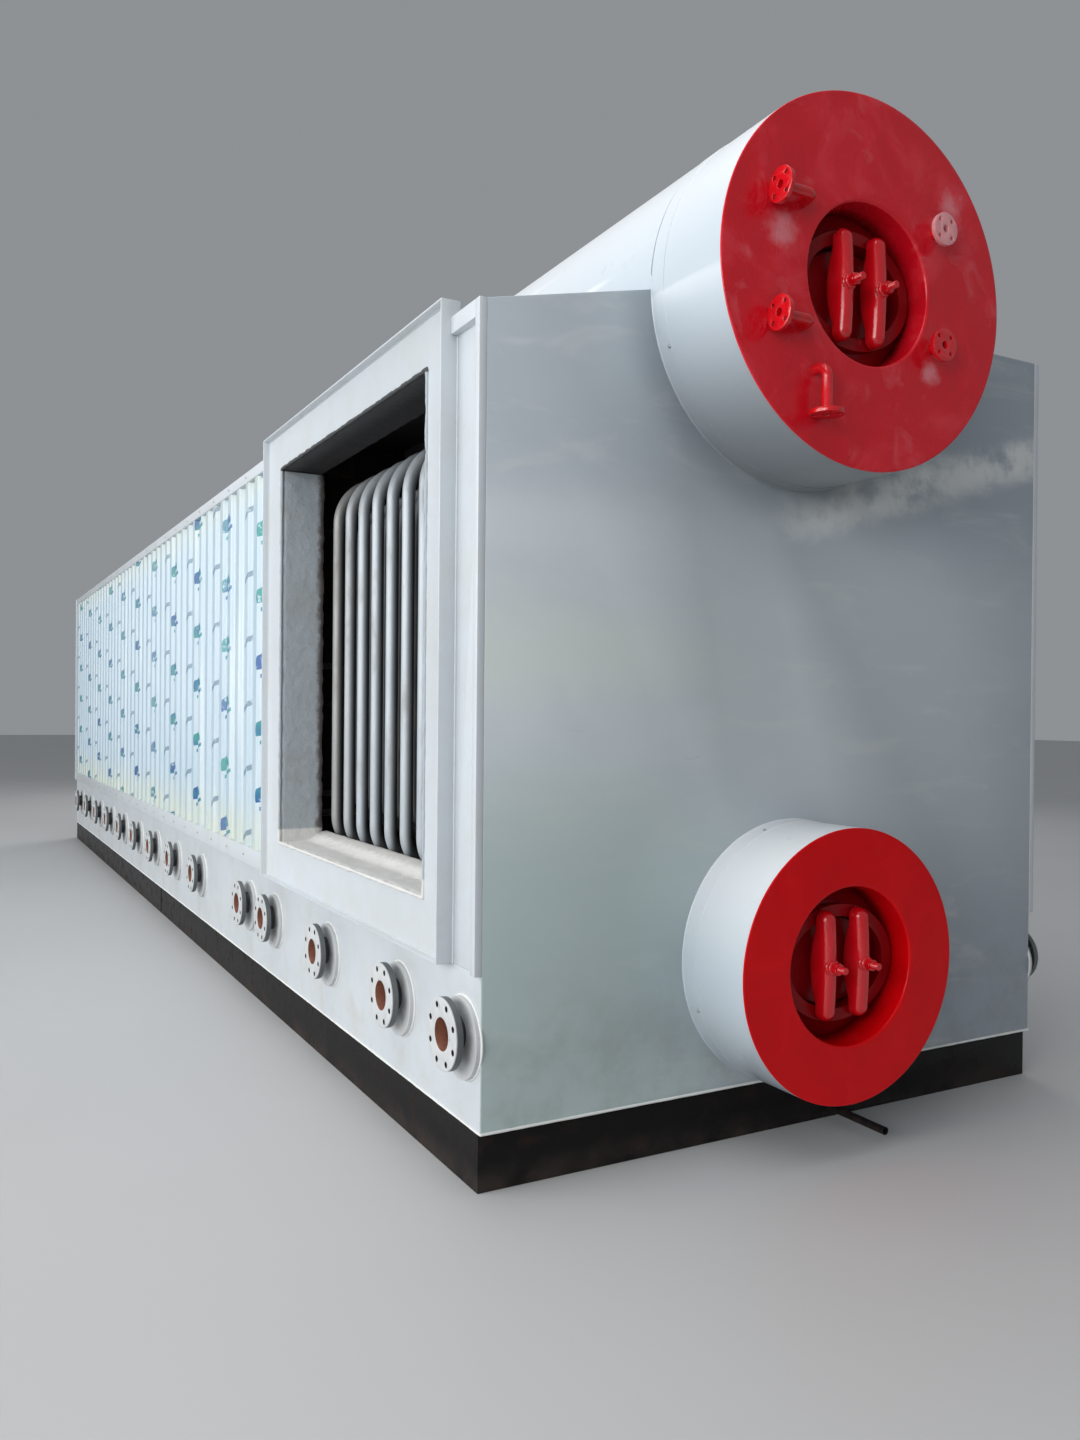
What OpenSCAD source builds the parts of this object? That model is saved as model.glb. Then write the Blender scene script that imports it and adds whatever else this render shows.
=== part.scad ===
// Double-drum water-tube boiler on a channel base, drum ends towards -Y.
// The origin is on the floor under the middle of the base, +Z up.

/* [Casing] */
// Width over the two long sides
casing_w = 2420; // [2300:10:2600]
// Length between the outer faces of the end plates
casing_l = 10400; // [9800:100:12000]
// Height of the left side above the floor
casing_h = 2650; // [2550:5:2800]
// How far the flat roof on the right lies above the left side
roof_right_rise = 188; // [160:1:240]
// How far the sloping roof climbs from the left side to the upper drum
roof_crest_rise = 134; // [90:1:180]
// Thickness of the end plates
end_plate_t = 8; // [5:1:12]
// Thickness of the steel side plates
side_plate_t = 6; // [4:1:8]
// Thickness of the lined side walls
wall_t = 160; // [130:5:180]
// Thickness of the end walls' lining
end_lining_t = 100; // [80:5:140]
// Thickness of the roof panels with their lining
roof_t = 60; // [50:2:80]
// Height of the flat band that runs above the base
band_h = 470; // [450:5:500]
// Thickness of the floor plate of the casing
floor_plate_t = 8; // [5:1:12]

/* [Base] */
// Height of the base channels
base_h = 180; // [160:5:200]
// Flange width of the base channels
base_flange_w = 70; // [50:2:90]
// Web and flange thickness of the base channels
base_t = 9; // [7:0.5:12]
// How far the base stands back under each end plate
base_setback = 20; // [0:5:60]
// Number of cross beams, with one under the middle
cross_beam_count = 7; // [5:2:9]
// Width of a cross beam's flanges
cross_beam_w = 94; // [80:2:120]
// Outer diameter of the drain pipe through the front beam
drain_d = 27; // [20:1:34]
// Distance of the drain pipe from the middle, to the right
drain_x = 179; // [100:1:300]
// Height of the drain pipe's centre
drain_z = 36; // [30:1:60]
// How far the drain pipe stands out of the end plate
drain_reach = 245; // [150:5:300]

/* [Side cladding] */
// Distance from the front end plate to the cladding
cladding_start = 2298; // [2250:1:2400]
// Pitch of the ribs
rib_pitch = 187; // [180:1:220]
// Width of a rib's flat crest
rib_crest_w = 60; // [40:1:80]
// Width of a rib's sloping flank
rib_flank_w = 14; // [8:1:24]
// Depth of the ribs
rib_depth = 20; // [12:1:28]
// Thickness of the ribbed sheet
sheet_t = 2; // [1:0.5:3]
// How far the valleys lie inside the side's outer face
sheet_inset = 6; // [4:1:12]
// Height of the trim along the top of the sheets
top_trim_h = 54; // [40:1:80]
// Height of the trim along the foot of the sheets
foot_trim_h = 87; // [60:1:110]
// Thickness of the trims
trim_t = 4; // [2:1:8]
// How far the corner posts stand out from the sides
post_proud = 25; // [18:1:40]
// Width of a corner post along the side
post_w = 30; // [20:1:60]

/* [Flue outlet] */
// Distance from the front end plate to the outlet's frame
frame_start = 206; // [190:1:260]
// How far the frame stands above the left side
frame_rise = 55; // [45:1:110]
// How far the frame stands out from the side
frame_proud = 58; // [50:1:80]
// Depth of the lip around the frame's front plate
lip_depth = 29; // [20:1:35]
// Thickness of the frame's plates
frame_t = 6; // [4:1:8]
// Distance from the front end plate to the opening's near edge
opening_start = 378; // [340:1:420]
// Distance from the front end plate to the opening's far edge
opening_end = 2075; // [2000:1:2120]
// Height of the frame's face below the opening
sill_face_h = 179; // [150:1:210]
// Height of the frame's face above the opening
lintel_face_h = 170; // [150:1:220]
// How far the bank of the sill reaches into the chamber, up to the tubes
bank_reach = 38; // [20:1:40]
// How far the bank rises above the sill
bank_rise = 40; // [10:1:42]
// Length of the bank's slope on top of the sill
bank_slope = 60; // [30:5:90]
// Thickness of the wall behind the tube bank
partition_t = 120; // [80:5:200]

/* [Drums] */
// How far the drums lie to the left of the middle
drum_shift = 38; // [0:1:60]
// How far the upper drum's axis lies above the left side
upper_rise = 145; // [130:1:160]
// Outer radius of the upper drum's shell
upper_r = 520; // [500:1:540]
// Outer radius of the upper drum's jacket
upper_jacket_r = 591; // [580:1:620]
// How far the upper drum's jacket stands out of the end plate
upper_reach = 353; // [340:1:400]
// How far the lower drum's axis lies above the base
lower_rise = 444; // [440:1:460]
// Outer radius of the lower drum's shell
lower_r = 390; // [370:1:400]
// Outer radius of the lower drum's jacket
lower_jacket_r = 445; // [430:1:450]
// How far the lower drum's jacket stands out of the end plate
lower_reach = 308; // [300:1:340]
// Wall thickness of shells and heads
drum_t = 18; // [12:1:24]
// Radius of the round recess in front of each manhole
recess_r = 255; // [245:1:265]
// Depth from the red cover to the crown of the head
crown_depth = 85; // [75:1:100]
// Thickness of the red covers and their sleeves
cover_t = 4; // [3:0.5:6]
// Radius of the covers' rolled edge round the recess
edge_roll = 10; // [8:1:14]

/* [Manholes] */
// Width of the oval opening
manhole_w = 400; // [380:5:420]
// Height of the oval opening
manhole_h = 300; // [280:5:320]
// Wall of the oval ring
manhole_ring_t = 40; // [20:1:44]
// How far the ring stands out of the head's crown
manhole_ring_proud = 14; // [8:1:20]
// Depth of the ring from front to back
manhole_ring_depth = 76; // [74:1:90]
// Thickness of the cover plate behind the ring
manhole_plate_t = 22; // [16:1:30]
// Overlap of the cover plate behind the ring
manhole_lap = 18; // [12:1:20]
// Distance between the two yokes
yoke_spacing = 143; // [120:1:160]
// Length of a yoke
yoke_l = 356; // [340:2:364]
// Width of a yoke
yoke_w = 58; // [50:1:62]
// Height of a yoke at its middle
yoke_h = 60; // [56:1:75]
// How far a yoke is bowed outwards
yoke_bow = 10; // [8:1:14]
// How far a yoke's belly reaches into the oval opening
yoke_belly = 30; // [16:1:32]
// Diameter of the yokes' studs
stud_d = 24; // [18:1:30]
// How far a stud stands out of its nut
stud_reach = 28; // [8:1:40]

/* [Tube bank] */
// Outer diameter of the tubes
tube_d = 51; // [42:1:57]
// Bend radius of the tubes' upper ends
bend_r = 200; // [170:5:220]
// Bend radius of the tubes' lower ends
foot_bend_r = 150; // [130:5:160]
// Distance of the outer row from the drums' axis
row_offset = 960; // [940:5:980]
// Distance between the rows
row_pitch = 100; // [85:5:110]
// Distance of the straight rows from the drums' axis
inner_offset = 80; // [60:1:100]
// Number of bent rows on each side
row_count = 3; // [1:1:3]
// Pitch of the tubes along the drums
tube_pitch = 170; // [150:5:180]
// Distance from the front end plate to the first tube
tube_start = 451; // [430:1:480]
// Number of tubes in a row
tube_count = 10; // [4:1:10]

/* [Side nozzles] */
// Height of the nozzles above the base
nozzle_rise = 280; // [220:1:320]
// Outer diameter of the nozzles' flanges
nozzle_flange_d = 220; // [200:5:250]
// Diameter of the nozzles' bolt circle
nozzle_pcd = 180; // [165:1:190]
// Diameter of the nozzles' bolt holes
nozzle_hole_d = 18; // [14:1:20]
// Thickness of the nozzles' flanges
nozzle_flange_t = 24; // [18:1:28]
// Outer diameter of the nozzles' pipes
nozzle_pipe_d = 108; // [102:1:114]
// Bore of the nozzles
nozzle_bore_d = 100; // [88:1:100]
// How far the nozzles stand out of the band
nozzle_reach = 76; // [66:1:110]
// Diameter of the pad under each nozzle
nozzle_pad_d = 250; // [230:5:270]
// Thickness of the pads
nozzle_pad_t = 18; // [6:1:24]
// How far a pad's centre lies below its nozzle's axis
nozzle_pad_drop = 18; // [0:1:24]

/* [Gauge nozzles] */
// Outer diameter of the small pipes
gauge_pipe_d = 34; // [28:1:38]
// Outer diameter of the small flanges
gauge_flange_d = 105; // [95:1:115]
// Diameter of the small flanges' bolt circle
gauge_pcd = 75; // [68:1:82]
// Diameter of the small flanges' bolt holes
gauge_hole_d = 14; // [11:1:15]
// Bore of the small pipes
gauge_bore_d = 25; // [16:1:26]
// Thickness of the small flanges
gauge_flange_t = 14; // [10:1:18]
// Half the height between the upper and the lower gauge nozzles
gauge_dz = 188; // [176:1:200]
// How far the left gauge nozzles' middle lies above the drum's axis
gauge_left_lift = 8; // [0:1:14]
// How far the right gauge nozzles' middle lies above the drum's axis
gauge_right_lift = 28; // [0:1:32]
// Distance of the left gauge nozzles from the drum's axis
gauge_left_dx = 282; // [270:1:296]
// Distance of the right gauge nozzles from the drum's axis
gauge_right_dx = 280; // [270:1:296]
// How far the small pipes stand out of the cover
gauge_reach = 53; // [44:1:80]
// Length of the side arm of the left gauge nozzles
gauge_arm = 135; // [110:1:180]
// Distance of the drain nozzle's root from the drum's axis, to the left
blow_dx = 225; // [215:1:240]
// Distance of the drain nozzle's root below the drum's axis
blow_dz = 306; // [296:1:330]
// Length of the drain nozzle's downward arm
blow_arm = 150; // [90:1:160]

/* [Hidden] */
$fn = 96;

// Clearance between curved faces of neighbouring pieces
fit = 0.3;
// How far a cutting body reaches past the face that it opens
cut = 1;
side_x = casing_w / 2;
near_y = -casing_l / 2;
drum_x = -drum_shift;
// Inner face of the side plates, where the lining starts
lining_x = side_x - sheet_inset - sheet_t;
chamber_x = side_x - wall_t;
floor_top = base_h + floor_plate_t;
band_top = base_h + band_h;
roof_right_h = casing_h + roof_right_rise;
roof_crest_h = casing_h + roof_crest_rise;
frame_top = casing_h + frame_rise;
sill_h = band_top + sill_face_h;
lintel_h = frame_top - lintel_face_h;
upper_z = casing_h + upper_rise;
lower_z = base_h + lower_rise;
nozzle_z = base_h + nozzle_rise;
crest_x = drum_x - sqrt(pow(upper_jacket_r, 2) - pow(roof_crest_h - upper_z, 2));
nozzle_front_y = [120, 638, 1420, 2228, 2690, 3839];
nozzle_pitch = 745;
nozzle_rear_count = 8;
nozzle_y = concat(
    nozzle_front_y,
    [for (i = [1:nozzle_rear_count]) nozzle_front_y[len(nozzle_front_y) - 1] + i * nozzle_pitch]
);
nozzle_bolts = 8;
gauge_bolts = 4;
// Slopes of the rows' runs to the upper and to the lower drum
rise_angles = [21, 30, 38.5];
fall_angles = [12, 22, 32];
// The bends are drawn this much thinner, and the straight lengths reach into them
bend_thinning = 0.2;
bend_overlap = 1;

light_grey = "#b9c2c8";
side_white = "#dde4ea";
sheet_white = "#e3eaf0";
base_black = "#1d1a19";
lining_grey = "#83898c";
cover_red = "#b3121f";
tube_grey = "#aab2b6";
nozzle_grey = "#c3cacd";

// Height of the sloping roof's top face at a place x
function roof_left_z(x) =
    casing_h + (x + side_x) * (roof_crest_h - casing_h) / (crest_x + side_x);

// Repeats its children at both ends, facing outwards
module both_ends() {
    children();
    mirror([0, 1, 0]) children();
}

module both_sides() {
    children();
    mirror([1, 0, 0]) children();
}

// Extrudes an outline drawn in x and z from y0 to y1
module along_y(y0, y1) {
    translate([0, y1, 0])
        rotate([90, 0, 0]) linear_extrude(y1 - y0) children();
}

module box(x0, x1, y0, y1, z0, z1) {
    translate([x0, y0, z0]) cube([x1 - x0, y1 - y0, z1 - z0]);
}

module drum_bore(z, r) {
    translate([drum_x, -casing_l, z])
        rotate([-90, 0, 0]) cylinder(h = 2 * casing_l, r = r);
}

module drum_bores() {
    drum_bore(upper_z, upper_r + fit);
    drum_bore(lower_z, lower_r + fit);
}

module channel(length, h, flange_w, t) {
    linear_extrude(length) union() {
        square([t, h]);
        square([flange_w, t]);
        translate([0, h - t]) square([flange_w, t]);
    }
}

module base_rail() {
    y0 = near_y + base_setback + base_t;
    color(base_black)
        translate([-side_x, -y0, 0])
        rotate([90, 0, 0]) channel(-2 * y0, base_h, base_flange_w, base_t);
}

module base_rail_left() base_rail();

module base_rail_right() mirror([1, 0, 0]) base_rail();

module end_beam() {
    y0 = near_y + base_setback;
    inner_x = side_x - base_flange_w;
    box(-side_x, side_x, y0, y0 + base_t, 0, base_h);
    for (z = [0, base_h - base_t])
        box(-inner_x, inner_x, y0 + base_t, y0 + base_flange_w, z, z + base_t);
}

module base_end_beams() {
    color(base_black) {
        difference() {
            end_beam();
            translate([drain_x, near_y, drain_z])
                rotate([-90, 0, 0]) cylinder(h = 2 * base_flange_w, d = drain_d + 2 * fit);
        }
        mirror([0, 1, 0]) end_beam();
    }
}

module cross_beam() {
    length = casing_w - 2 * base_flange_w;
    translate([-length / 2, 0, 0])
        rotate([90, 0, 90]) linear_extrude(length) union() {
            translate([-cross_beam_w / 2, 0]) square([cross_beam_w, base_t]);
            translate([-cross_beam_w / 2, base_h - base_t]) square([cross_beam_w, base_t]);
            translate([-base_t / 2, 0]) square([base_t, base_h]);
        }
}

module base_cross_beams() {
    span = casing_l / (cross_beam_count + 1);
    middle = (cross_beam_count - 1) / 2;
    color(base_black)
        for (i = [-middle:middle]) translate([0, i * span, 0]) cross_beam();
}

module floor_plate() {
    color(base_black)
        box(-lining_x, lining_x, near_y + end_plate_t, -near_y - end_plate_t, base_h, floor_top);
}

module drain_pipe() {
    wall = 3;
    length = drain_reach + base_setback + base_t + 2 * drain_d;
    color(base_black)
        translate([drain_x, near_y - drain_reach, drain_z]) rotate([-90, 0, 0])
        difference() {
            cylinder(h = length, d = drain_d, $fn = 48);
            translate([0, 0, -cut])
                cylinder(h = length + 2 * cut, d = drain_d - 2 * wall, $fn = 48);
        }
}

// Outline of the end plates, above the base
module end_outline() {
    polygon([
        [-side_x, base_h], [side_x, base_h], [side_x, roof_right_h],
        [drum_x, roof_right_h], [drum_x, roof_left_z(drum_x)], [-side_x, casing_h]
    ]);
}

module end_plate() {
    difference() {
        along_y(near_y, near_y + end_plate_t) end_outline();
        drum_bores();
    }
}

module end_plate_front() color(light_grey) end_plate();

module end_plate_rear() color(light_grey) mirror([0, 1, 0]) end_plate();

// Cylinders across the left side at the nozzles' places
module nozzle_holes(r) {
    for (y = nozzle_y)
        translate([-side_x - cut, near_y + y, nozzle_z])
            rotate([0, 90, 0]) cylinder(h = 2 * wall_t, r = r);
}

module side_band() {
    difference() {
        box(-side_x, -side_x + side_plate_t, near_y + end_plate_t,
            -near_y - end_plate_t, base_h, band_top);
        nozzle_holes(nozzle_pipe_d / 2 + fit);
    }
}

module side_band_left() color(side_white) side_band();

module side_band_right() color(side_white) mirror([1, 0, 0]) side_band();

// Ribbed sheet on the left side, from its foot to its top edge
module ribbed_sheet(z0, z1) {
    y0 = near_y + cladding_start;
    y1 = -near_y - post_w;
    valley_x = -side_x + sheet_inset;
    crest_x = valley_x - rib_depth;
    count = floor((y1 - y0) / rib_pitch);
    margin = (y1 - y0 - count * rib_pitch) / 2;
    half = rib_crest_w / 2;
    front = [for (i = [0:count - 1])
        let (y = y0 + margin + (i + 0.5) * rib_pitch)
        each [
            [valley_x, y - half - rib_flank_w], [crest_x, y - half],
            [crest_x, y + half], [valley_x, y + half + rib_flank_w]
        ]];
    edge = concat([[valley_x, y0]], front, [[valley_x, y1]]);
    back = reversed([for (p = edge) p + [sheet_t, 0]]);
    translate([0, 0, z0]) linear_extrude(z1 - z0) polygon(concat(edge, back));
}

module cladding_left() {
    color(sheet_white) ribbed_sheet(band_top + foot_trim_h, casing_h - top_trim_h);
}

module cladding_right() {
    color(sheet_white) mirror([1, 0, 0])
        ribbed_sheet(band_top + foot_trim_h, roof_right_h - top_trim_h);
}

// Flat strip in front of the ribs, on the left side
module trim(z0, z1) {
    face_x = -side_x + sheet_inset - rib_depth - trim_t;
    box(face_x, -lining_x, near_y + cladding_start, -near_y - post_w, z0, z1);
}

module top_trims() {
    color(side_white) {
        trim(casing_h - top_trim_h, casing_h);
        mirror([1, 0, 0]) trim(roof_right_h - top_trim_h, roof_right_h);
    }
}

module foot_trims() {
    color(side_white) both_sides() trim(band_top, band_top + foot_trim_h);
}

module corner_post(top) {
    box(-side_x - post_proud, -side_x, near_y, near_y + post_w, band_top, top);
}

module corner_posts() {
    color(light_grey) both_ends() {
        corner_post(casing_h);
        mirror([1, 0, 0]) corner_post(roof_right_h);
    }
}

// Set-back strip between the corner post and the outlet's frame, with its bars
module recess_panel() {
    y0 = near_y + end_plate_t;
    y1 = near_y + frame_start;
    color(side_white) {
        box(-side_x, -lining_x, y0, y1, band_top, casing_h);
        box(-side_x - post_proud, -side_x, near_y + post_w, y1, casing_h - top_trim_h, casing_h);
    }
}

// Plain panel on the right, in the place of the outlet
module flat_panel() {
    y0 = near_y + end_plate_t;
    color(side_white)
        box(lining_x, side_x, y0, near_y + cladding_start, band_top, roof_right_h);
}

module roof_left() {
    color(light_grey) difference() {
        along_y(near_y + end_plate_t, -near_y - end_plate_t) polygon([
            [-lining_x, roof_left_z(-lining_x) - roof_t], [drum_x, roof_left_z(drum_x) - roof_t],
            [drum_x, roof_left_z(drum_x)], [-lining_x, roof_left_z(-lining_x)]
        ]);
        drum_bore(upper_z, upper_r + fit);
    }
}

module roof_right() {
    color(light_grey) difference() {
        box(drum_x, lining_x, near_y + end_plate_t, -near_y - end_plate_t,
            roof_right_h - roof_t, roof_right_h);
        drum_bore(upper_z, upper_r + fit);
    }
}

// Section of the lined wall on the left, from the band up to the roof
module wall_section() {
    polygon([
        [-lining_x, band_top], [-chamber_x, band_top],
        [-chamber_x, roof_left_z(-chamber_x) - roof_t], [-lining_x, roof_left_z(-lining_x) - roof_t]
    ]);
}

module lining_left() {
    color(lining_grey)
        along_y(near_y + cladding_start, -near_y - end_plate_t) wall_section();
}

module lining_right() {
    y0 = near_y + end_plate_t;
    color(lining_grey)
        box(chamber_x, lining_x, y0, -y0, band_top, roof_right_h - roof_t);
}

// Linings behind the bands, with the nozzles' holes
module band_linings() {
    y0 = near_y + end_plate_t;
    color(lining_grey) both_sides() difference() {
        box(-lining_x, -chamber_x, y0, -y0, floor_top, band_top);
        nozzle_holes(nozzle_pipe_d / 2 + fit);
    }
}

// Section of the space between the side walls, the floor and the roof
module chamber_section() {
    polygon([
        [-chamber_x, floor_top], [chamber_x, floor_top], [chamber_x, roof_right_h - roof_t],
        [drum_x, roof_right_h - roof_t], [drum_x, roof_left_z(drum_x) - roof_t],
        [-chamber_x, roof_left_z(-chamber_x) - roof_t]
    ]);
}

module cross_wall(y0, t) {
    color(lining_grey) difference() {
        along_y(y0, y0 + t) chamber_section();
        drum_bores();
    }
}

module end_linings() {
    cross_wall(near_y + end_plate_t, end_lining_t);
    cross_wall(-near_y - end_plate_t - end_lining_t, end_lining_t);
}

module partition() cross_wall(near_y + cladding_start, partition_t);

module flue_opening(x0, x1) {
    box(x0, x1, near_y + opening_start, near_y + opening_end, sill_h, lintel_h);
}

module flue_frame() {
    x0 = -side_x - frame_proud;
    y0 = near_y + frame_start;
    y1 = near_y + cladding_start;
    plate_x = x0 + lip_depth;
    color(side_white) difference() {
        box(x0, -lining_x, y0, y1, band_top, frame_top);
        box(x0 - cut, plate_x, y0 + frame_t, y1 - frame_t, band_top + frame_t, frame_top - frame_t);
        box(plate_x + frame_t, -lining_x + cut, y0 + frame_t, y1 - frame_t,
            band_top + frame_t, frame_top - frame_t);
        flue_opening(x0, -chamber_x);
    }
}

// Section of the bank that closes the gap between the sill and the tubes
module bank_section() {
    outer_x = -chamber_x - bank_slope;
    inner_x = bank_reach - chamber_x;
    key = 10;
    polygon([
        [outer_x, sill_h - key], [-chamber_x - key, sill_h - key], [-chamber_x - key, band_top],
        [inner_x, band_top], [inner_x, sill_h + bank_rise], [outer_x, sill_h]
    ]);
}

module flue_lining() {
    y0 = near_y + frame_start;
    y1 = near_y + cladding_start;
    front_x = -side_x - frame_proud + lip_depth + frame_t;
    color(lining_grey) {
        difference() {
            union() {
                along_y(near_y + end_plate_t, y1) wall_section();
                box(front_x, -lining_x, y0 + frame_t, y1 - frame_t,
                    band_top + frame_t, frame_top - frame_t);
            }
            flue_opening(2 * front_x, -chamber_x / 2);
        }
        along_y(near_y + opening_start, near_y + opening_end) bank_section();
    }
}

module ring_y(y0, y1, z, outer_r, inner_r) {
    translate([drum_x, y0, z]) rotate([-90, 0, 0]) difference() {
        cylinder(h = y1 - y0, r = outer_r);
        translate([0, 0, -cut]) cylinder(h = y1 - y0 + 2 * cut, r = inner_r);
    }
}

// Place along y where a drum's front head meets its shell
function head_y(reach, r) = near_y - reach + crown_depth + r / 2;

module drum_shell(z, r, reach) {
    y0 = head_y(reach, r);
    color(light_grey) ring_y(y0, -y0, z, r, r - drum_t);
}

module upper_drum_shell() drum_shell(upper_z, upper_r, upper_reach);

module lower_drum_shell() drum_shell(lower_z, lower_r, lower_reach);

dish_steps = 12;

// Half outline of a dished head, from its rim to its crown
function dish(r, depth) =
    [for (i = [0:dish_steps]) [r * cos(90 * i / dish_steps), depth * sin(90 * i / dish_steps)]];

function reversed(list) = [for (i = [len(list) - 1:-1:0]) list[i]];

// Turns a head's own frame, crown along +Z, to face -Y at the drum's front end
module place_head(z, r, reach) {
    translate([drum_x, head_y(reach, r), z]) rotate([90, 0, 0]) children();
}

module oval(w, h) {
    polygon([for (a = [0:7.5:352.5]) [w / 2 * cos(a), h / 2 * sin(a)]]);
}

// Solid of a head's outer shape, grown by a clearance
module head_form(r, gap) {
    rotate_extrude() polygon(concat([[0, 0]], dish(r + gap, r / 2 + gap)));
}

module head(r) {
    crown = r / 2;
    ring_foot = crown + manhole_ring_proud - manhole_ring_depth;
    difference() {
        union() {
            rotate_extrude()
                polygon(concat(dish(r, crown), reversed(dish(r - drum_t, crown - drum_t))));
            translate([0, 0, ring_foot])
                linear_extrude(crown + manhole_ring_proud - ring_foot)
                oval(manhole_w + 2 * manhole_ring_t, manhole_h + 2 * manhole_ring_t);
        }
        translate([0, 0, ring_foot - cut])
            linear_extrude(crown) oval(manhole_w, manhole_h);
    }
}

module upper_head() color(cover_red) place_head(upper_z, upper_r, upper_reach) head(upper_r);

module lower_head() color(cover_red) place_head(lower_z, lower_r, lower_reach) head(lower_r);

module upper_head_front() upper_head();

module upper_head_rear() mirror([0, 1, 0]) upper_head();

module lower_head_front() lower_head();

module lower_head_rear() mirror([0, 1, 0]) lower_head();

module recess_bore(z, reach, r, length) {
    translate([drum_x, near_y - reach - cut, z])
        rotate([-90, 0, 0]) cylinder(h = length + cut, r = r);
}

// Insulated jacket round a drum's end, from the end plate to the red cover
module jacket(z, r, jacket_r, reach) {
    difference() {
        ring_y(near_y - reach + cover_t, near_y, z, jacket_r, recess_r);
        place_head(z, r, reach) head_form(r, fit);
        translate([drum_x, head_y(reach, r), z])
            rotate([-90, 0, 0]) cylinder(h = reach, r = r + fit);
        recess_bore(z, reach, recess_r + cover_t + fit, cover_sleeve(r) + fit);
        recess_bore(z, reach, recess_r + edge_roll + fit, edge_roll + fit);
    }
}

module small_pipe_holes() {
    for (p = gauge_places)
        translate([drum_x + p[0], near_y - upper_reach - cut, upper_z + p[1]])
            rotate([-90, 0, 0]) cylinder(h = upper_reach, d = gauge_pipe_d + 2 * fit, $fn = 48);
}

module upper_jacket_front() {
    color(light_grey) difference() {
        jacket(upper_z, upper_r, upper_jacket_r, upper_reach);
        small_pipe_holes();
    }
}

module upper_jacket_rear() {
    color(light_grey) mirror([0, 1, 0]) jacket(upper_z, upper_r, upper_jacket_r, upper_reach);
}

module lower_jacket_front() {
    color(light_grey) jacket(lower_z, lower_r, lower_jacket_r, lower_reach);
}

module lower_jacket_rear() {
    color(light_grey) mirror([0, 1, 0]) jacket(lower_z, lower_r, lower_jacket_r, lower_reach);
}

// Part of the upper drum's jacket that stands above the roof
module upper_jacket_top() {
    y0 = near_y + end_plate_t;
    far = upper_jacket_r + cut;
    color(light_grey) intersection() {
        ring_y(y0, -y0, upper_z, upper_jacket_r, upper_r + fit);
        along_y(y0, -y0) polygon([
            [drum_x - far, roof_left_z(drum_x - far)], [drum_x, roof_left_z(drum_x)],
            [drum_x, roof_right_h], [drum_x + far, roof_right_h],
            [drum_x + far, upper_z + far], [drum_x - far, upper_z + far]
        ]);
    }
}

// Depth of a recess's sleeve, up to the head that it ends at
function cover_sleeve(r) =
    crown_depth + (r / 2) * (1 - sqrt(1 - pow((recess_r + cover_t) / r, 2))) - cut;

roll_steps = 6;

// Quarter turn of the rolled edge, from the sleeve to the cover's face
function roll_edge(r) =
    [for (i = [0:roll_steps])
        let (a = 90 * i / roll_steps)
        [recess_r + edge_roll - r * cos(a), edge_roll - r * sin(a)]];

// Red cover of a drum's end with its rolled edge and the sleeve of its round recess
module end_cover(z, r, jacket_r, reach) {
    depth = cover_sleeve(r);
    difference() {
        translate([drum_x, near_y - reach, z]) rotate([-90, 0, 0]) rotate_extrude()
            polygon(concat(
                [[recess_r, depth]], roll_edge(edge_roll), [[jacket_r, 0], [jacket_r, cover_t]],
                reversed(roll_edge(edge_roll - cover_t)), [[recess_r + cover_t, depth]]
            ));
        place_head(z, r, reach) head_form(r, fit);
    }
}

module upper_cover_front() {
    color(cover_red) difference() {
        end_cover(upper_z, upper_r, upper_jacket_r, upper_reach);
        small_pipe_holes();
    }
}

module upper_cover_rear() {
    color(cover_red) mirror([0, 1, 0]) end_cover(upper_z, upper_r, upper_jacket_r, upper_reach);
}

module lower_cover_front() {
    color(cover_red) end_cover(lower_z, lower_r, lower_jacket_r, lower_reach);
}

module lower_cover_rear() {
    color(cover_red) mirror([0, 1, 0]) end_cover(lower_z, lower_r, lower_jacket_r, lower_reach);
}

// Repeats its children at the four manholes, origin on the ring's outer face
module at_manholes() {
    both_ends() {
        translate([drum_x, near_y - upper_reach + crown_depth - manhole_ring_proud, upper_z])
            rotate([90, 0, 0]) children();
        translate([drum_x, near_y - lower_reach + crown_depth - manhole_ring_proud, lower_z])
            rotate([90, 0, 0]) children();
    }
}

module manhole_plate() {
    translate([0, 0, -manhole_ring_depth - manhole_plate_t])
        linear_extrude(manhole_plate_t)
        oval(manhole_w + 2 * manhole_lap, manhole_h + 2 * manhole_lap);
    translate([0, 0, -manhole_ring_depth - cut])
        linear_extrude(manhole_ring_depth / 2)
        oval(manhole_w - manhole_plate_t, manhole_h - manhole_plate_t);
}

module manhole_plates() color(cover_red) at_manholes() manhole_plate();

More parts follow.
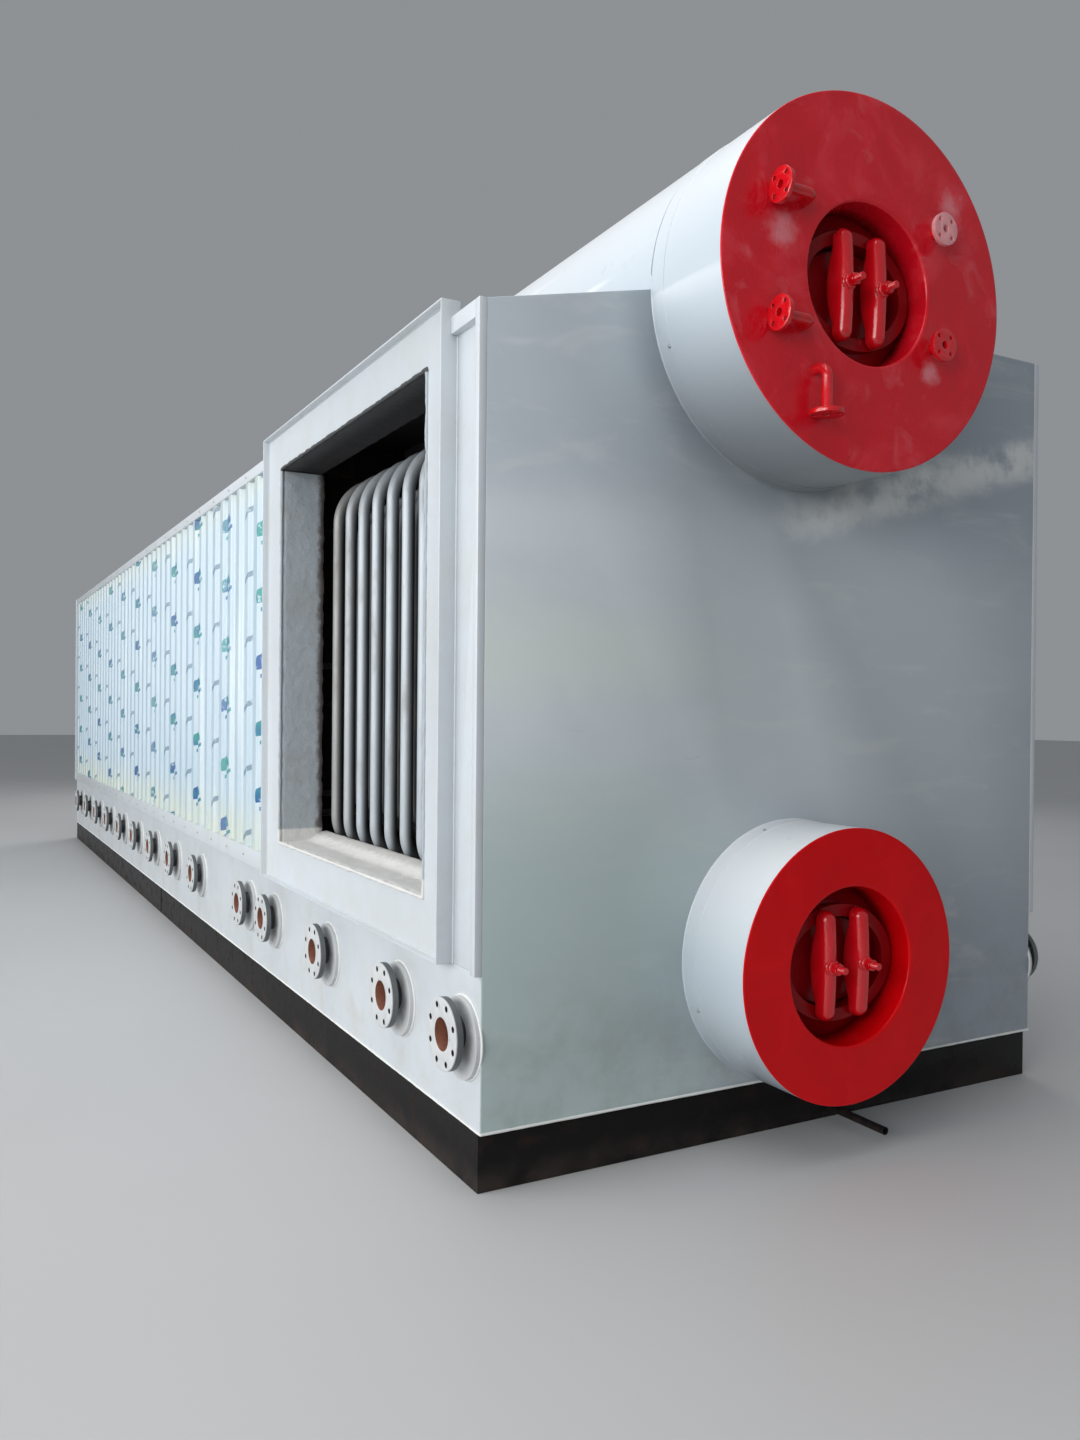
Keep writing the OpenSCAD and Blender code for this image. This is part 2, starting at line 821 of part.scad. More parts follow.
// Bowed cast bar of half-round section across the manhole, its belly in the opening
module yoke() {
    half = (yoke_l - yoke_w) / 2;
    bow_r = (pow(half, 2) + pow(yoke_bow, 2)) / (2 * yoke_bow);
    sweep = 2 * asin(half / bow_r);
    middle_z = yoke_h - yoke_w / 2;
    foot_w = 0.92 * yoke_w;
    foot_h = middle_z - yoke_bow - cut;
    belly_half = 0.8 * half;
    belly_r = (pow(belly_half, 2) + pow(yoke_belly, 2)) / (2 * yoke_belly);
    difference() {
        union() {
            translate([0, 0, middle_z - bow_r]) rotate([0, -90, 0]) difference() {
                union() {
                    rotate([0, 0, -sweep / 2])
                        rotate_extrude(angle = sweep) translate([bow_r, 0]) circle(d = yoke_w);
                    for (side = [-1, 1]) rotate([0, 0, side * sweep / 2])
                        translate([bow_r, 0, 0]) sphere(d = yoke_w - fit);
                }
                translate([0, 0, -yoke_w]) cylinder(h = 2 * yoke_w, r = bow_r - 0.35 * yoke_w);
            }
            linear_extrude(foot_h) {
                square([foot_w, 2 * half], center = true);
                for (side = [-1, 1]) translate([0, side * half]) circle(d = foot_w);
            }
            translate([-foot_w / 2, 0, 0]) rotate([90, 0, 90]) linear_extrude(foot_w)
                intersection() {
                    translate([0, belly_r - yoke_belly]) circle(r = belly_r);
                    translate([-yoke_l, -yoke_l]) square([2 * yoke_l, yoke_l + cut]);
                }
            translate([0, 0, middle_z]) cylinder(h = yoke_w / 2, d = 0.9 * yoke_w);
        }
        translate([0, 0, -yoke_belly - cut])
            cylinder(h = yoke_h + yoke_belly + 2 * cut, d = stud_d + 2 * fit, $fn = 48);
    }
}

module manhole_yokes() {
    color(cover_red) at_manholes()
        for (side = [-1, 1]) translate([side * yoke_spacing / 2, 0, 0]) yoke();
}

module stud() {
    root = -manhole_ring_depth / 2 - cut;
    nut_h = 0.83 * stud_d;
    washer_t = 8;
    translate([0, 0, root])
        cylinder(h = yoke_h - root + washer_t + nut_h + stud_reach, d = stud_d, $fn = 48);
    translate([0, 0, yoke_h]) cylinder(h = washer_t, d = 2.2 * stud_d, $fn = 48);
    translate([0, 0, yoke_h + washer_t]) cylinder(h = nut_h, d = 1.7 * stud_d, $fn = 6);
}

module manhole_studs() {
    color(cover_red) at_manholes()
        for (side = [-1, 1]) translate([side * yoke_spacing / 2, 0, 0]) stud();
}

// Places of the small nozzles about the upper drum's axis, left ones first
gauge_places = [
    [-gauge_left_dx, gauge_left_lift + gauge_dz], [-gauge_left_dx, gauge_left_lift - gauge_dz],
    [gauge_right_dx, gauge_right_lift + gauge_dz], [gauge_right_dx, gauge_right_lift - gauge_dz],
    [-blow_dx, -blow_dz]
];
elbow_r = gauge_pipe_d;

// Small flange, outer face at z = 0
module small_flange() {
    translate([0, 0, -gauge_flange_t]) cylinder(h = gauge_flange_t, d = gauge_flange_d);
}

module small_flange_holes() {
    for (i = [0:gauge_bolts - 1])
        rotate([0, 0, (i + 0.5) * 360 / gauge_bolts])
            translate([gauge_pcd / 2, 0, -2 * gauge_flange_t])
            cylinder(h = 3 * gauge_flange_t, d = gauge_hole_d, $fn = 48);
}

// Straight small nozzle along +Z, cover's face at z = 0, shank behind it
module straight_nozzle(shank) {
    difference() {
        union() {
            translate([0, 0, -shank])
                cylinder(h = shank + gauge_reach, d = gauge_pipe_d, $fn = 48);
            translate([0, 0, gauge_reach]) small_flange();
        }
        translate([0, 0, -shank - cut])
            cylinder(h = shank + gauge_reach + 2 * cut, d = gauge_bore_d, $fn = 48);
        translate([0, 0, gauge_reach]) small_flange_holes();
    }
}

// Small nozzle along +Z that turns to +X, with an arm of its own length
module turned_nozzle(shank, arm) {
    run = gauge_reach - elbow_r;
    difference() {
        union() {
            translate([0, 0, -shank]) cylinder(h = shank + run, d = gauge_pipe_d, $fn = 48);
            elbow(gauge_pipe_d, run);
            translate([elbow_r, 0, gauge_reach]) rotate([0, 90, 0])
                cylinder(h = arm - elbow_r, d = gauge_pipe_d, $fn = 48);
            translate([arm, 0, gauge_reach]) rotate([0, 90, 0]) small_flange();
        }
        translate([0, 0, -shank - cut])
            cylinder(h = shank + run + cut, d = gauge_bore_d, $fn = 48);
        elbow(gauge_bore_d, run);
        translate([elbow_r, 0, gauge_reach]) rotate([0, 90, 0])
            cylinder(h = arm, d = gauge_bore_d, $fn = 48);
        translate([arm, 0, gauge_reach]) rotate([0, 90, 0]) small_flange_holes();
    }
}

module elbow(d, run) {
    translate([elbow_r, 0, run]) rotate([90, 0, 0]) rotate([0, 0, 90])
        rotate_extrude(angle = 90) translate([elbow_r, 0]) circle(d = d, $fn = 48);
}

// Repeats its children on the upper cover's face, own +Z pointing outwards
module on_upper_cover(place) {
    translate([drum_x + place[0], near_y - upper_reach, upper_z + place[1]])
        rotate([90, 0, 0]) children();
}

// Depth of the head behind the cover at a distance from the drum's axis
function head_depth(place) = crown_depth + (upper_r / 2) * (1 - sqrt(1 - pow(norm(place) / upper_r, 2)));

module gauge_nozzles() {
    color(cover_red) difference() {
        union() {
            for (i = [0, 1])
                on_upper_cover(gauge_places[i]) mirror([1, 0, 0])
                    turned_nozzle(head_depth(gauge_places[i]) + gauge_pipe_d / 2, gauge_arm);
            for (i = [2, 3])
                on_upper_cover(gauge_places[i])
                    straight_nozzle(head_depth(gauge_places[i]) + gauge_pipe_d / 2);
        }
        place_head(upper_z, upper_r, upper_reach) head_form(upper_r, fit);
    }
}

module blowdown_nozzle() {
    place = gauge_places[4];
    color(cover_red) difference() {
        on_upper_cover(place) rotate([0, 0, -90])
            turned_nozzle(head_depth(place) + gauge_pipe_d, blow_arm);
        place_head(upper_z, upper_r, upper_reach) head_form(upper_r, fit);
    }
}

// Height of a bend's centre, for a run that slopes towards a drum's axis by an angle
function bend_z(drum_z, u, r, angle, way) =
    drum_z - way * (r * cos(angle) + tan(angle) * (u + r * sin(angle)));

// Length of the straight run from a bend to a drum's shell
function run_length(u, r, angle, drum_r) = (u + r * sin(angle)) / cos(angle) - drum_r - fit;

// Bend and run on the left up to a drum, bend's centre at the origin
module tube_end(u, r, angle, drum_r) {
    rotate([90, 0, 0]) rotate([0, 0, 90 + angle])
        rotate_extrude(angle = 90 - angle)
        translate([r, 0]) circle(d = tube_d - bend_thinning, $fn = 48);
    rotate([0, -angle, 0]) translate([-bend_overlap, 0, r]) rotate([0, 90, 0])
        cylinder(h = run_length(u, r, angle, drum_r) + bend_overlap, d = tube_d, $fn = 48);
}

// Bent tube on the left, from the lower drum round to the upper drum
module bent_tube(row) {
    offset = row_offset - row * row_pitch;
    rise = rise_angles[row];
    fall = fall_angles[row];
    top_u = offset - bend_r;
    foot_u = offset - foot_bend_r;
    top = bend_z(upper_z, top_u, bend_r, rise, 1);
    foot = bend_z(lower_z, foot_u, foot_bend_r, fall, -1);
    translate([-offset, 0, foot - bend_overlap])
        cylinder(h = top - foot + 2 * bend_overlap, d = tube_d, $fn = 48);
    translate([-top_u, 0, top]) tube_end(top_u, bend_r, rise, upper_r);
    translate([-foot_u, 0, foot]) mirror([0, 0, 1]) tube_end(foot_u, foot_bend_r, fall, lower_r);
}

module bent_rows() {
    for (row = [0:row_count - 1], i = [0:tube_count - 1])
        translate([0, near_y + tube_start + i * tube_pitch, 0]) bent_tube(row);
}

module tubes_left() color(tube_grey) translate([drum_x, 0, 0]) bent_rows();

module tubes_right() color(tube_grey) translate([drum_x, 0, 0]) mirror([1, 0, 0]) bent_rows();

module tubes_middle() {
    color(tube_grey) difference() {
        for (side = [-1, 1], i = [0:tube_count - 1])
            translate([drum_x + side * inner_offset, near_y + tube_start + i * tube_pitch, lower_z])
                cylinder(h = upper_z - lower_z, d = tube_d, $fn = 48);
        drum_bores();
    }
}

// Flanged nozzle towards -X, origin on the band's outer face
module side_nozzle() {
    rotate([0, -90, 0]) difference() {
        union() {
            translate([0, 0, chamber_x - side_x])
                cylinder(h = side_x - chamber_x + nozzle_reach, d = nozzle_pipe_d);
            translate([-nozzle_pad_drop, 0, 0]) cylinder(h = nozzle_pad_t, d = nozzle_pad_d);
            translate([0, 0, nozzle_reach - nozzle_flange_t])
                cylinder(h = nozzle_flange_t, d = nozzle_flange_d);
        }
        translate([0, 0, -2 * wall_t]) cylinder(h = 4 * wall_t, d = nozzle_bore_d);
        for (i = [0:nozzle_bolts - 1])
            rotate([0, 0, (i + 0.5) * 360 / nozzle_bolts])
                translate([nozzle_pcd / 2, 0, nozzle_reach - nozzle_flange_t - cut])
                cylinder(h = nozzle_flange_t + 2 * cut, d = nozzle_hole_d, $fn = 48);
    }
}

module side_nozzles() {
    color(nozzle_grey)
        for (y = nozzle_y) translate([-side_x, near_y + y, nozzle_z]) side_nozzle();
}

module side_nozzles_left() side_nozzles();

module side_nozzles_right() mirror([1, 0, 0]) side_nozzles();

base_rail_left();
base_rail_right();
base_end_beams();
base_cross_beams();
floor_plate();
drain_pipe();
end_plate_front();
end_plate_rear();
side_band_left();
side_band_right();
cladding_left();
cladding_right();
top_trims();
foot_trims();
corner_posts();
recess_panel();
flat_panel();
roof_left();
roof_right();
lining_left();
lining_right();
band_linings();
end_linings();
partition();
flue_frame();
flue_lining();
upper_drum_shell();
upper_head_front();
upper_head_rear();
upper_jacket_front();
upper_jacket_rear();
upper_jacket_top();
upper_cover_front();
upper_cover_rear();
lower_drum_shell();
lower_head_front();
lower_head_rear();
lower_jacket_front();
lower_jacket_rear();
lower_cover_front();
lower_cover_rear();
manhole_plates();
manhole_yokes();
manhole_studs();
gauge_nozzles();
blowdown_nozzle();
tubes_left();
tubes_right();
tubes_middle();
side_nozzles_left();
side_nozzles_right();
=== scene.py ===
import math
import bmesh
import bpy
from mathutils import Matrix, Vector, noise


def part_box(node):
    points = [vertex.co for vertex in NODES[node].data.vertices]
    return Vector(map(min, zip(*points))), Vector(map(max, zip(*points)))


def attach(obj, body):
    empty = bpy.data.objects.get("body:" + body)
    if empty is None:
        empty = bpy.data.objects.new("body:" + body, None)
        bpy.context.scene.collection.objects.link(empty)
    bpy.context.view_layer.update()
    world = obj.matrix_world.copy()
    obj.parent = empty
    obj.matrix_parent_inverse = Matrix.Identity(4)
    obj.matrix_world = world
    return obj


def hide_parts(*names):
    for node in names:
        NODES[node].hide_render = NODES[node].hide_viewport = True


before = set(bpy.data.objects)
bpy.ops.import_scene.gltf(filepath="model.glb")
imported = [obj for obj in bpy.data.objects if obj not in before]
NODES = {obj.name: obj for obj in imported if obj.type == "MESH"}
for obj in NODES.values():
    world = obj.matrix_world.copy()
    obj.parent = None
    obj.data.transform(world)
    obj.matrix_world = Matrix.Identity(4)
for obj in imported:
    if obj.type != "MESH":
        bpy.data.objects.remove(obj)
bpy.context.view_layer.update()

# Places and sizes from the frame, in metres
UPPER_LOW, UPPER_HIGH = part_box("upper_cover_front")
LOWER_LOW, LOWER_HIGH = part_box("lower_cover_front")
CASING_LOW, CASING_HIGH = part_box("end_plate_front")
REAR_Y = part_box("end_plate_rear")[1].y
BASE_TOP = CASING_LOW.z
SIDE_X = CASING_HIGH.x
NEAR_Y = CASING_LOW.y
DRUM_X = (UPPER_LOW.x + UPPER_HIGH.x) / 2
UPPER_Z = (UPPER_LOW.z + UPPER_HIGH.z) / 2
LOWER_Z = (LOWER_LOW.z + LOWER_HIGH.z) / 2
UPPER_R = (UPPER_HIGH.x - UPPER_LOW.x) / 2
LOWER_R = (LOWER_HIGH.x - LOWER_LOW.x) / 2
UPPER_FACE = UPPER_LOW.y
LOWER_FACE = LOWER_LOW.y
RECESS_R = 0.255
EDGE_ROLL = 0.010
CROWN_DEPTH = 0.085
RING_PROUD = 0.014
BAND_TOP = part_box("side_band_left")[1].z
SHEET_LOW, SHEET_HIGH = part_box("cladding_left")
RIB_PITCH = 0.187
NOZZLE_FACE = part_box("side_nozzles_right")[1].x
NOZZLE_Y = [NEAR_Y + v for v in (0.120, 0.638, 1.420, 2.228, 2.690)]
NOZZLE_Y += [NEAR_Y + 3.839 + 0.745 * i for i in range(9)]
NOZZLE_Z = 0.460
FRAME_LOW, FRAME_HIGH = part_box("flue_frame")
OPENING_NEAR, OPENING_FAR = NEAR_Y + 0.378, NEAR_Y + 2.075
OPENING_LOW, OPENING_HIGH = FRAME_LOW.z + 0.179, FRAME_HIGH.z - 0.170
CHAMBER_X = SIDE_X - 0.160
RED_SMEARS = [(DRUM_X - 0.36, UPPER_Z + 0.10, 0.075), (DRUM_X + 0.27, UPPER_Z - 0.235, 0.055),
              (DRUM_X + 0.36, UPPER_Z + 0.32, 0.07)]


# Node trees

def summing(operation, turned=False):
    """A method that adds one Math node; turned puts the value last."""
    def method(value, *others):
        terms = (*others, value) if turned else (value, *others)
        node = value.tree.nodes.new("ShaderNodeMath")
        node.operation = operation
        for socket, term in zip(node.inputs, terms):
            feed(value.tree, socket, term)
        return Value(value.tree, node.outputs[0])
    return method


class Value:
    """A node's output that takes part in Python sums."""

    def __init__(self, tree, socket):
        self.tree = tree
        self.socket = socket

    __add__ = __radd__ = summing("ADD")
    __sub__ = summing("SUBTRACT")
    __rsub__ = summing("SUBTRACT", turned=True)
    __mul__ = __rmul__ = summing("MULTIPLY")
    __truediv__ = summing("DIVIDE")
    __mod__ = summing("FLOORED_MODULO")
    __pow__ = summing("POWER")
    __abs__ = summing("ABSOLUTE")
    least = summing("MINIMUM")
    most = summing("MAXIMUM")
    above = summing("GREATER_THAN")
    below = summing("LESS_THAN")
    floor = summing("FLOOR")


def feed(tree, socket, value):
    if isinstance(value, Value):
        tree.links.new(value.socket, socket)
    else:
        socket.default_value = value


class Tree:
    """A node tree that is written as Python calls."""

    def __init__(self, tree):
        self.tree = tree

    def node(self, kind, settings=(), values=(), out=0):
        node = self.tree.nodes.new(kind)
        for name, value in dict(settings).items():
            setattr(node, name, value)
        for name, value in dict(values).items():
            feed(self.tree, node.inputs[name], value)
        return Value(self.tree, node.outputs[out])

    def split(self, vector):
        """A vector's x, y and z."""
        first = self.node("ShaderNodeSeparateXYZ", {}, {0: vector})
        return [Value(self.tree, socket) for socket in first.socket.node.outputs]


class Finish(Tree):
    """A material on the principled shader."""

    def __init__(self, name, **constants):
        self.material = bpy.data.materials.new(name)
        self.material.use_nodes = True
        super().__init__(self.material.node_tree)
        self.shader = self.tree.nodes["Principled BSDF"]
        for socket, value in constants.items():
            self.shader.inputs[socket.replace("_", " ")].default_value = value
        self.place = self.node("ShaderNodeTexCoord", out="Object")
        self.x, self.y, self.z = self.split(self.place)

    def set(self, **values):
        for socket, value in values.items():
            feed(self.tree, self.shader.inputs[socket.replace("_", " ")], value)
        return self.material

    def stretch(self, x, y, z):
        values = {0: self.place, 1: (x, y, z)}
        return self.node("ShaderNodeVectorMath", {"operation": "MULTIPLY"}, values)

    def point(self, x, y, z):
        return self.node("ShaderNodeCombineXYZ", {}, {0: x, 1: y, 2: z})

    def noise(self, scale, detail=2.0, rough=0.5, at=None, bend=0.0):
        values = {"Vector": at or self.place, "Scale": scale, "Detail": detail,
                  "Roughness": rough, "Distortion": bend}
        return self.node("ShaderNodeTexNoise", {}, values)

    def cells(self, scale, at=None, feature="F1"):
        values = {"Vector": at or self.place, "Scale": scale}
        return self.node("ShaderNodeTexVoronoi", {"feature": feature}, values, "Distance")

    def made(self, name):
        """A value that the mesh carries at its points."""
        return self.node("ShaderNodeAttribute", {"attribute_name": name}, {}, "Fac")

    def ease(self, value, low, high):
        """0 below low, 1 above high, smooth between."""
        values = {"Value": value, "From Min": low, "From Max": high}
        return self.node("ShaderNodeMapRange", {"interpolation_type": "SMOOTHSTEP"}, values)

    def mix(self, share, first, second):
        values = {0: share, 6: first, 7: second}
        return self.node("ShaderNodeMix", {"data_type": "RGBA"}, values, 2)

    def bump(self, height, depth, strength=1.0, under=None):
        values = {"Height": height, "Distance": depth, "Strength": strength}
        if under:
            values["Normal"] = under
        return self.node("ShaderNodeBump", {}, values)


def tone(red, green, blue):
    """A colour from its 0 to 255 screen values."""
    def linear(v):
        v /= 255
        return v / 12.92 if v <= 0.04045 else ((v + 0.055) / 1.055) ** 2.4
    return (linear(red), linear(green), linear(blue), 1.0)


# Finishes

def side_paint():
    """Pale satin paint on the sides, brushed on by hand, dusty towards the floor."""
    f = Finish("side_paint", Coat_Roughness=0.25)
    colour = (201, 208, 213)
    patches = f.noise(1.7, 5, 0.6)
    strokes = f.noise(38, 3, 0.6, f.stretch(1, 1, 0.16), 0.4)
    specks = f.ease(f.noise(160, 2, 0.5), 0.66, 0.74)
    low = 1 - f.ease(f.z, 0.05, 0.9)
    grime = (low * 0.35 + 0.25) * f.ease(f.noise(5, 6, 0.65), 0.42, 0.72) * 0.64
    hue = f.mix(patches, tone(*[v * 0.965 for v in colour]), tone(*colour))
    hue = f.mix(grime.least(1), hue, tone(180, 168, 148))
    hue = f.mix(specks * 0.25, hue, tone(*[v * 0.7 for v in colour]))
    shine = 0.32 + patches * 0.10 + strokes * 0.06 + grime * 0.3
    relief = f.bump(strokes * 0.25 + f.noise(9, 2), 0.0006)
    relief = f.bump(f.noise(420, 2), 0.00008, 1, relief)
    return f.set(Base_Color=hue, Roughness=shine, Coat_Weight=0.12, Normal=relief)


def end_paint():
    """The end plates: satin blue-grey with a clouded painted sheen on the left and in the middle,
    painted sheen bands, a painted reflection streak near the top, and painted shade round the
    upper jacket and under the roofs.
    """
    f = Finish("end_paint", Coat_Roughness=0.2)
    cloud = f.noise(1.1, 6, 0.62, f.stretch(1, 1, 2.2), 0.5)
    streaks = f.noise(3.2, 5, 0.6, f.stretch(0.7, 1, 2.6), 0.8)
    # Painted sheen: lighter on the left and in the middle of the plates.
    left = 1 - f.ease(f.x + (cloud - 0.5) * 0.9, -0.9, 1.1)
    middle = f.ease(f.z, 0.5, 1.3) * (1 - f.ease(f.z, 1.75, 2.35))
    painted_sheen_mask = (left * 0.45 + middle * 0.55) * (0.6 + cloud * 0.7)
    hue = f.mix(painted_sheen_mask.least(1), tone(156, 166, 175), tone(203, 211, 215))
    hue = f.mix(f.ease(streaks, 0.52, 0.72) * 0.35, hue, tone(208, 211, 210))
    green = (1 - f.ease(f.x + cloud * 0.5, -0.6, 0.4)) * (1 - f.ease(f.z, 0.9, 1.5))
    hue = f.mix(green * 0.55, hue, tone(164, 184, 178))
    # Painted reflection: a pale diagonal streak near the top of the plates.
    drift = f.z - 2.11 - f.x * 0.28 + (cloud - 0.5) * 0.30
    painted_reflection_streak = (1 - f.ease(abs(drift), 0.02, 0.12)) * f.ease(f.x, -0.25, 0.2)
    hue = f.mix(painted_reflection_streak * f.ease(f.noise(7, 5, 0.65), 0.30, 0.60) * 0.8, hue, tone(232, 234, 232))
    for z, tint in ((1.98, tone(206, 211, 216)), (1.60, tone(206, 214, 208))):
        sheen = 1 - f.ease(abs(f.z - z + (cloud - 0.5) * 0.3), 0.02, 0.17)
        sheen = sheen * (1 - f.ease(f.x + cloud * 0.4, -0.55, 0.05))
        hue = f.mix(sheen * 0.6, hue, tint)
    grime = (1 - f.ease(f.z, 0.2, 0.8)) * f.ease(f.noise(6, 6, 0.65), 0.4, 0.7)
    # Painted shade on the plates round the upper jacket, darkest next to it.
    away = ((f.x - DRUM_X) ** 2 + (f.z - UPPER_Z) ** 2) ** 0.5 - UPPER_R
    hue = f.mix((1 - f.ease(away, 0.0, 0.16)) * (0.2 + cloud * 0.5), hue, tone(112, 120, 128))
    hue = f.mix(grime * 0.35, hue, tone(132, 134, 134))
    hue = f.mix(f.ease(f.noise(150, 2), 0.68, 0.76) * 0.3, hue, tone(120, 122, 126))
    # Painted shade: near black on the roofs' downward faces.
    hue = f.mix(f.made("inside"), hue, tone(26, 24, 24))
    relief = f.bump(f.noise(5, 3), 0.0014)
    relief = f.bump(f.noise(300, 2), 0.00006, 1, relief)
    return f.set(Base_Color=hue, Roughness=0.24 + streaks * 0.12 + grime * 0.3,
                 Coat_Weight=0.2, Normal=relief)


def jacket_paint():
    """Pale paint on the drum jackets, with a painted highlight on top, painted window reflections
    on the upper one and painted shade underneath.
    """
    f = Finish("jacket_paint", Coat_Roughness=0.15)
    upper = f.z.above((UPPER_Z + LOWER_Z) / 2)
    height = f.z - LOWER_Z - upper * (UPPER_Z - LOWER_Z)
    height = height / (LOWER_R + upper * (UPPER_R - LOWER_R))
    patches = f.noise(2.1, 5, 0.6)
    strokes = f.noise(30, 3, 0.6, f.stretch(1, 0.12, 1), 0.4)
    hue = f.mix(patches, tone(186, 197, 206), tone(194, 204, 212))
    # Painted highlight: lighter towards the top of each jacket.
    hue = f.mix(f.ease(height, -0.1, 0.9), hue, tone(226, 230, 233))
    # Painted shade: darker underneath, most on the upper jacket.
    under = (1 - f.ease(height, -0.92, -0.15)) * (0.3 + upper * 0.7)
    hue = f.mix(under * 0.9, hue, tone(126, 131, 135))
    # Painted reflections of window bars on the upper jacket's left side.
    bars = f.ease(f.noise(2.2, 2, 0.4, f.stretch(0.4, 0.25, 3.4)), 0.56, 0.62)
    painted_window_reflections = bars * f.x.below(DRUM_X) * (1 - f.ease(abs(height - 0.25), 0.15, 0.5)) * upper
    hue = f.mix(painted_window_reflections * 0.6, hue, tone(244, 246, 247))
    dirt = f.ease(f.noise(9, 6, 0.68), 0.58, 0.8) * 0.25
    hue = f.mix(dirt, hue, tone(150, 152, 152))
    relief = f.bump(strokes * 0.25 + f.noise(7, 2), 0.0009)
    return f.set(Base_Color=hue, Roughness=0.26 + patches * 0.1 + dirt, Coat_Weight=0.2,
                 Normal=relief)


def base_paint():
    """Black skirt paint with rust and dust along its edges."""
    f = Finish("base_black", Specular_IOR_Level=0.2)
    rust = f.ease(f.noise(14, 6, 0.7), 0.52, 0.68)
    dust = (1 - f.ease(f.z, 0.0, 0.10)) * f.ease(f.noise(7, 5, 0.6), 0.3, 0.7)
    streaks = f.noise(22, 4, 0.6, f.stretch(1, 1, 0.1))
    hue = f.mix(rust * 0.5, tone(9, 7, 8), tone(44, 28, 22))
    hue = f.mix(dust * 0.3 + streaks * 0.02, hue, tone(90, 80, 74))
    relief = f.bump(f.noise(60, 4, 0.6), 0.0008)
    relief = f.bump(rust, 0.0005, 0.8, relief)
    return f.set(Base_Color=hue, Roughness=0.42 + rust * 0.3 + dust * 0.2, Normal=relief)


def sheet_film():
    """Pale protective film on the ribbed sheet, with columns of small printed marks."""
    f = Finish("sheet_film", Coat_Roughness=0.2)
    cloud = f.noise(2.3, 5, 0.6)
    crease = f.cells(5, f.stretch(1, 1, 0.35), "DISTANCE_TO_EDGE")
    crease = 1 - f.ease(crease, 0.0, 0.02)
    puffs = f.noise(26, 3, 0.6, f.stretch(1, 1, 0.4), 0.6)
    glare = f.ease(f.noise(9, 3, 0.6, f.stretch(1, 1, 0.05)), 0.5, 0.7)
    hue = f.mix(cloud, tone(172, 194, 208), tone(190, 207, 217))
    hue = f.mix(glare * 0.6, hue, tone(220, 229, 231))
    # Painted shade: thin darker lines along the rib flanks.
    edge = (f.y - SHEET_LOW.y + RIB_PITCH / 2) % RIB_PITCH
    painted_fold_shade = 1 - f.ease(abs(abs(edge - RIB_PITCH / 2) - 0.036), 0.003, 0.010)
    hue = f.mix(painted_fold_shade * 0.3, hue, tone(150, 164, 178))
    rim = (1 - f.ease(f.z, BAND_TOP + 0.09, BAND_TOP + 0.40)) * 0.6
    rim = rim.most(f.ease(f.z, SHEET_HIGH.z - 0.22, SHEET_HIGH.z) * 0.4)
    hue = f.mix(rim * f.noise(6, 3), hue, tone(216, 212, 160))
    shape, kind = marks(f)
    blue = f.mix(f.ease(f.noise(5, 2), 0.4, 0.6), tone(0, 142, 138), tone(0, 84, 150))
    blue = f.mix(f.ease(f.y, -2.4, 1.0) * 0.4, blue, tone(52, 92, 120))
    hue = f.mix(shape, hue, f.mix(kind, blue, tone(70, 106, 132)))
    relief = f.bump(puffs, 0.0012)
    relief = f.bump(crease, 0.0006, 0.7, relief)
    return f.set(Base_Color=hue, Roughness=0.26 + cloud * 0.16, Coat_Weight=0.2, Normal=relief)


def marks(f):
    """Half discs and slanting bars, in staggered columns up each sheet."""
    sheet, row = 4 * RIB_PITCH, 0.33
    place = f.y / sheet
    number = place.floor()
    u = (place - number - 0.5) * sheet
    v = (f.z + number * 0.21) % row - row / 2
    disc = ((u + 0.10) ** 2 / 0.095 ** 2 + v ** 2 / 0.066 ** 2).below(1)
    half = disc * v.above(-0.012 - (u + 0.10) * 0.25)
    dash = abs(v + 0.045 + (u + 0.10) * 0.25).below(0.010) * abs(u + 0.12).below(0.09)
    bar = abs(v - 0.10 + (u - 0.22) * 0.55).below(0.014) * abs(u - 0.22).below(0.080)
    pale = f.ease(f.noise(1, 0, 0.5, f.point(number * 3.7, 0.0, 0.0)), 0.35, 0.6)
    worn = f.ease(f.noise(24, 4, 0.65), 0.30, 0.44)
    main = half.most(dash) * (0.55 + pale * 0.45)
    return main.most(bar * 0.7) * worn, bar


def red_paint(name, colour=(228, 16, 36), wave=0.0012, hazy=0.3, near=(), pale=(),
              shine=0.3, coat=0.1):
    """Glossy red enamel over filler; near lists pale smears, pale the primed flanges."""
    f = Finish(name, Coat_Roughness=0.12, Specular_IOR_Level=shine)
    cloud = f.noise(4.5, 5, 0.62, None, 0.6)
    brush = f.noise(20, 4, 0.6, f.stretch(1, 1, 0.3), 1.2)
    haze = f.ease(f.noise(7, 4, 0.6, None, 0.8), 0.56, 0.8)
    hue = f.mix(cloud, tone(*[v * 0.82 for v in colour]), tone(*colour))
    hue = f.mix(f.ease(cloud, 0.50, 0.66) * hazy * 0.6, hue, tone(224, 78, 92))
    hue = f.mix(haze * hazy, hue, tone(222, 116, 124))
    for x, z, size in near:
        gap = ((f.x - x) ** 2 + (f.z - z) ** 2) ** 0.5
        gap = gap + (f.noise(16, 4, 0.6) - 0.5) * size * 1.6
        hue = f.mix((1 - f.ease(gap, 0.0, size)) * 0.5, hue, tone(232, 168, 176))
    for x, z in pale:
        flange = ((f.x - x) ** 2 + (f.z - z) ** 2).below(0.058 ** 2)
        flange = flange * f.y.below(UPPER_FACE - 0.030)
        hue = f.mix(flange * (0.30 + cloud * 0.5), hue, tone(234, 188, 192))
    relief = f.bump(cloud + brush * 0.4, wave)
    relief = f.bump(f.noise(90, 3, 0.6), 0.0002, 1, relief)
    return f.set(Base_Color=hue, Roughness=0.30 - coat * 0.25 + haze * 0.2 + brush * 0.08,
                 Coat_Weight=coat, Normal=relief)


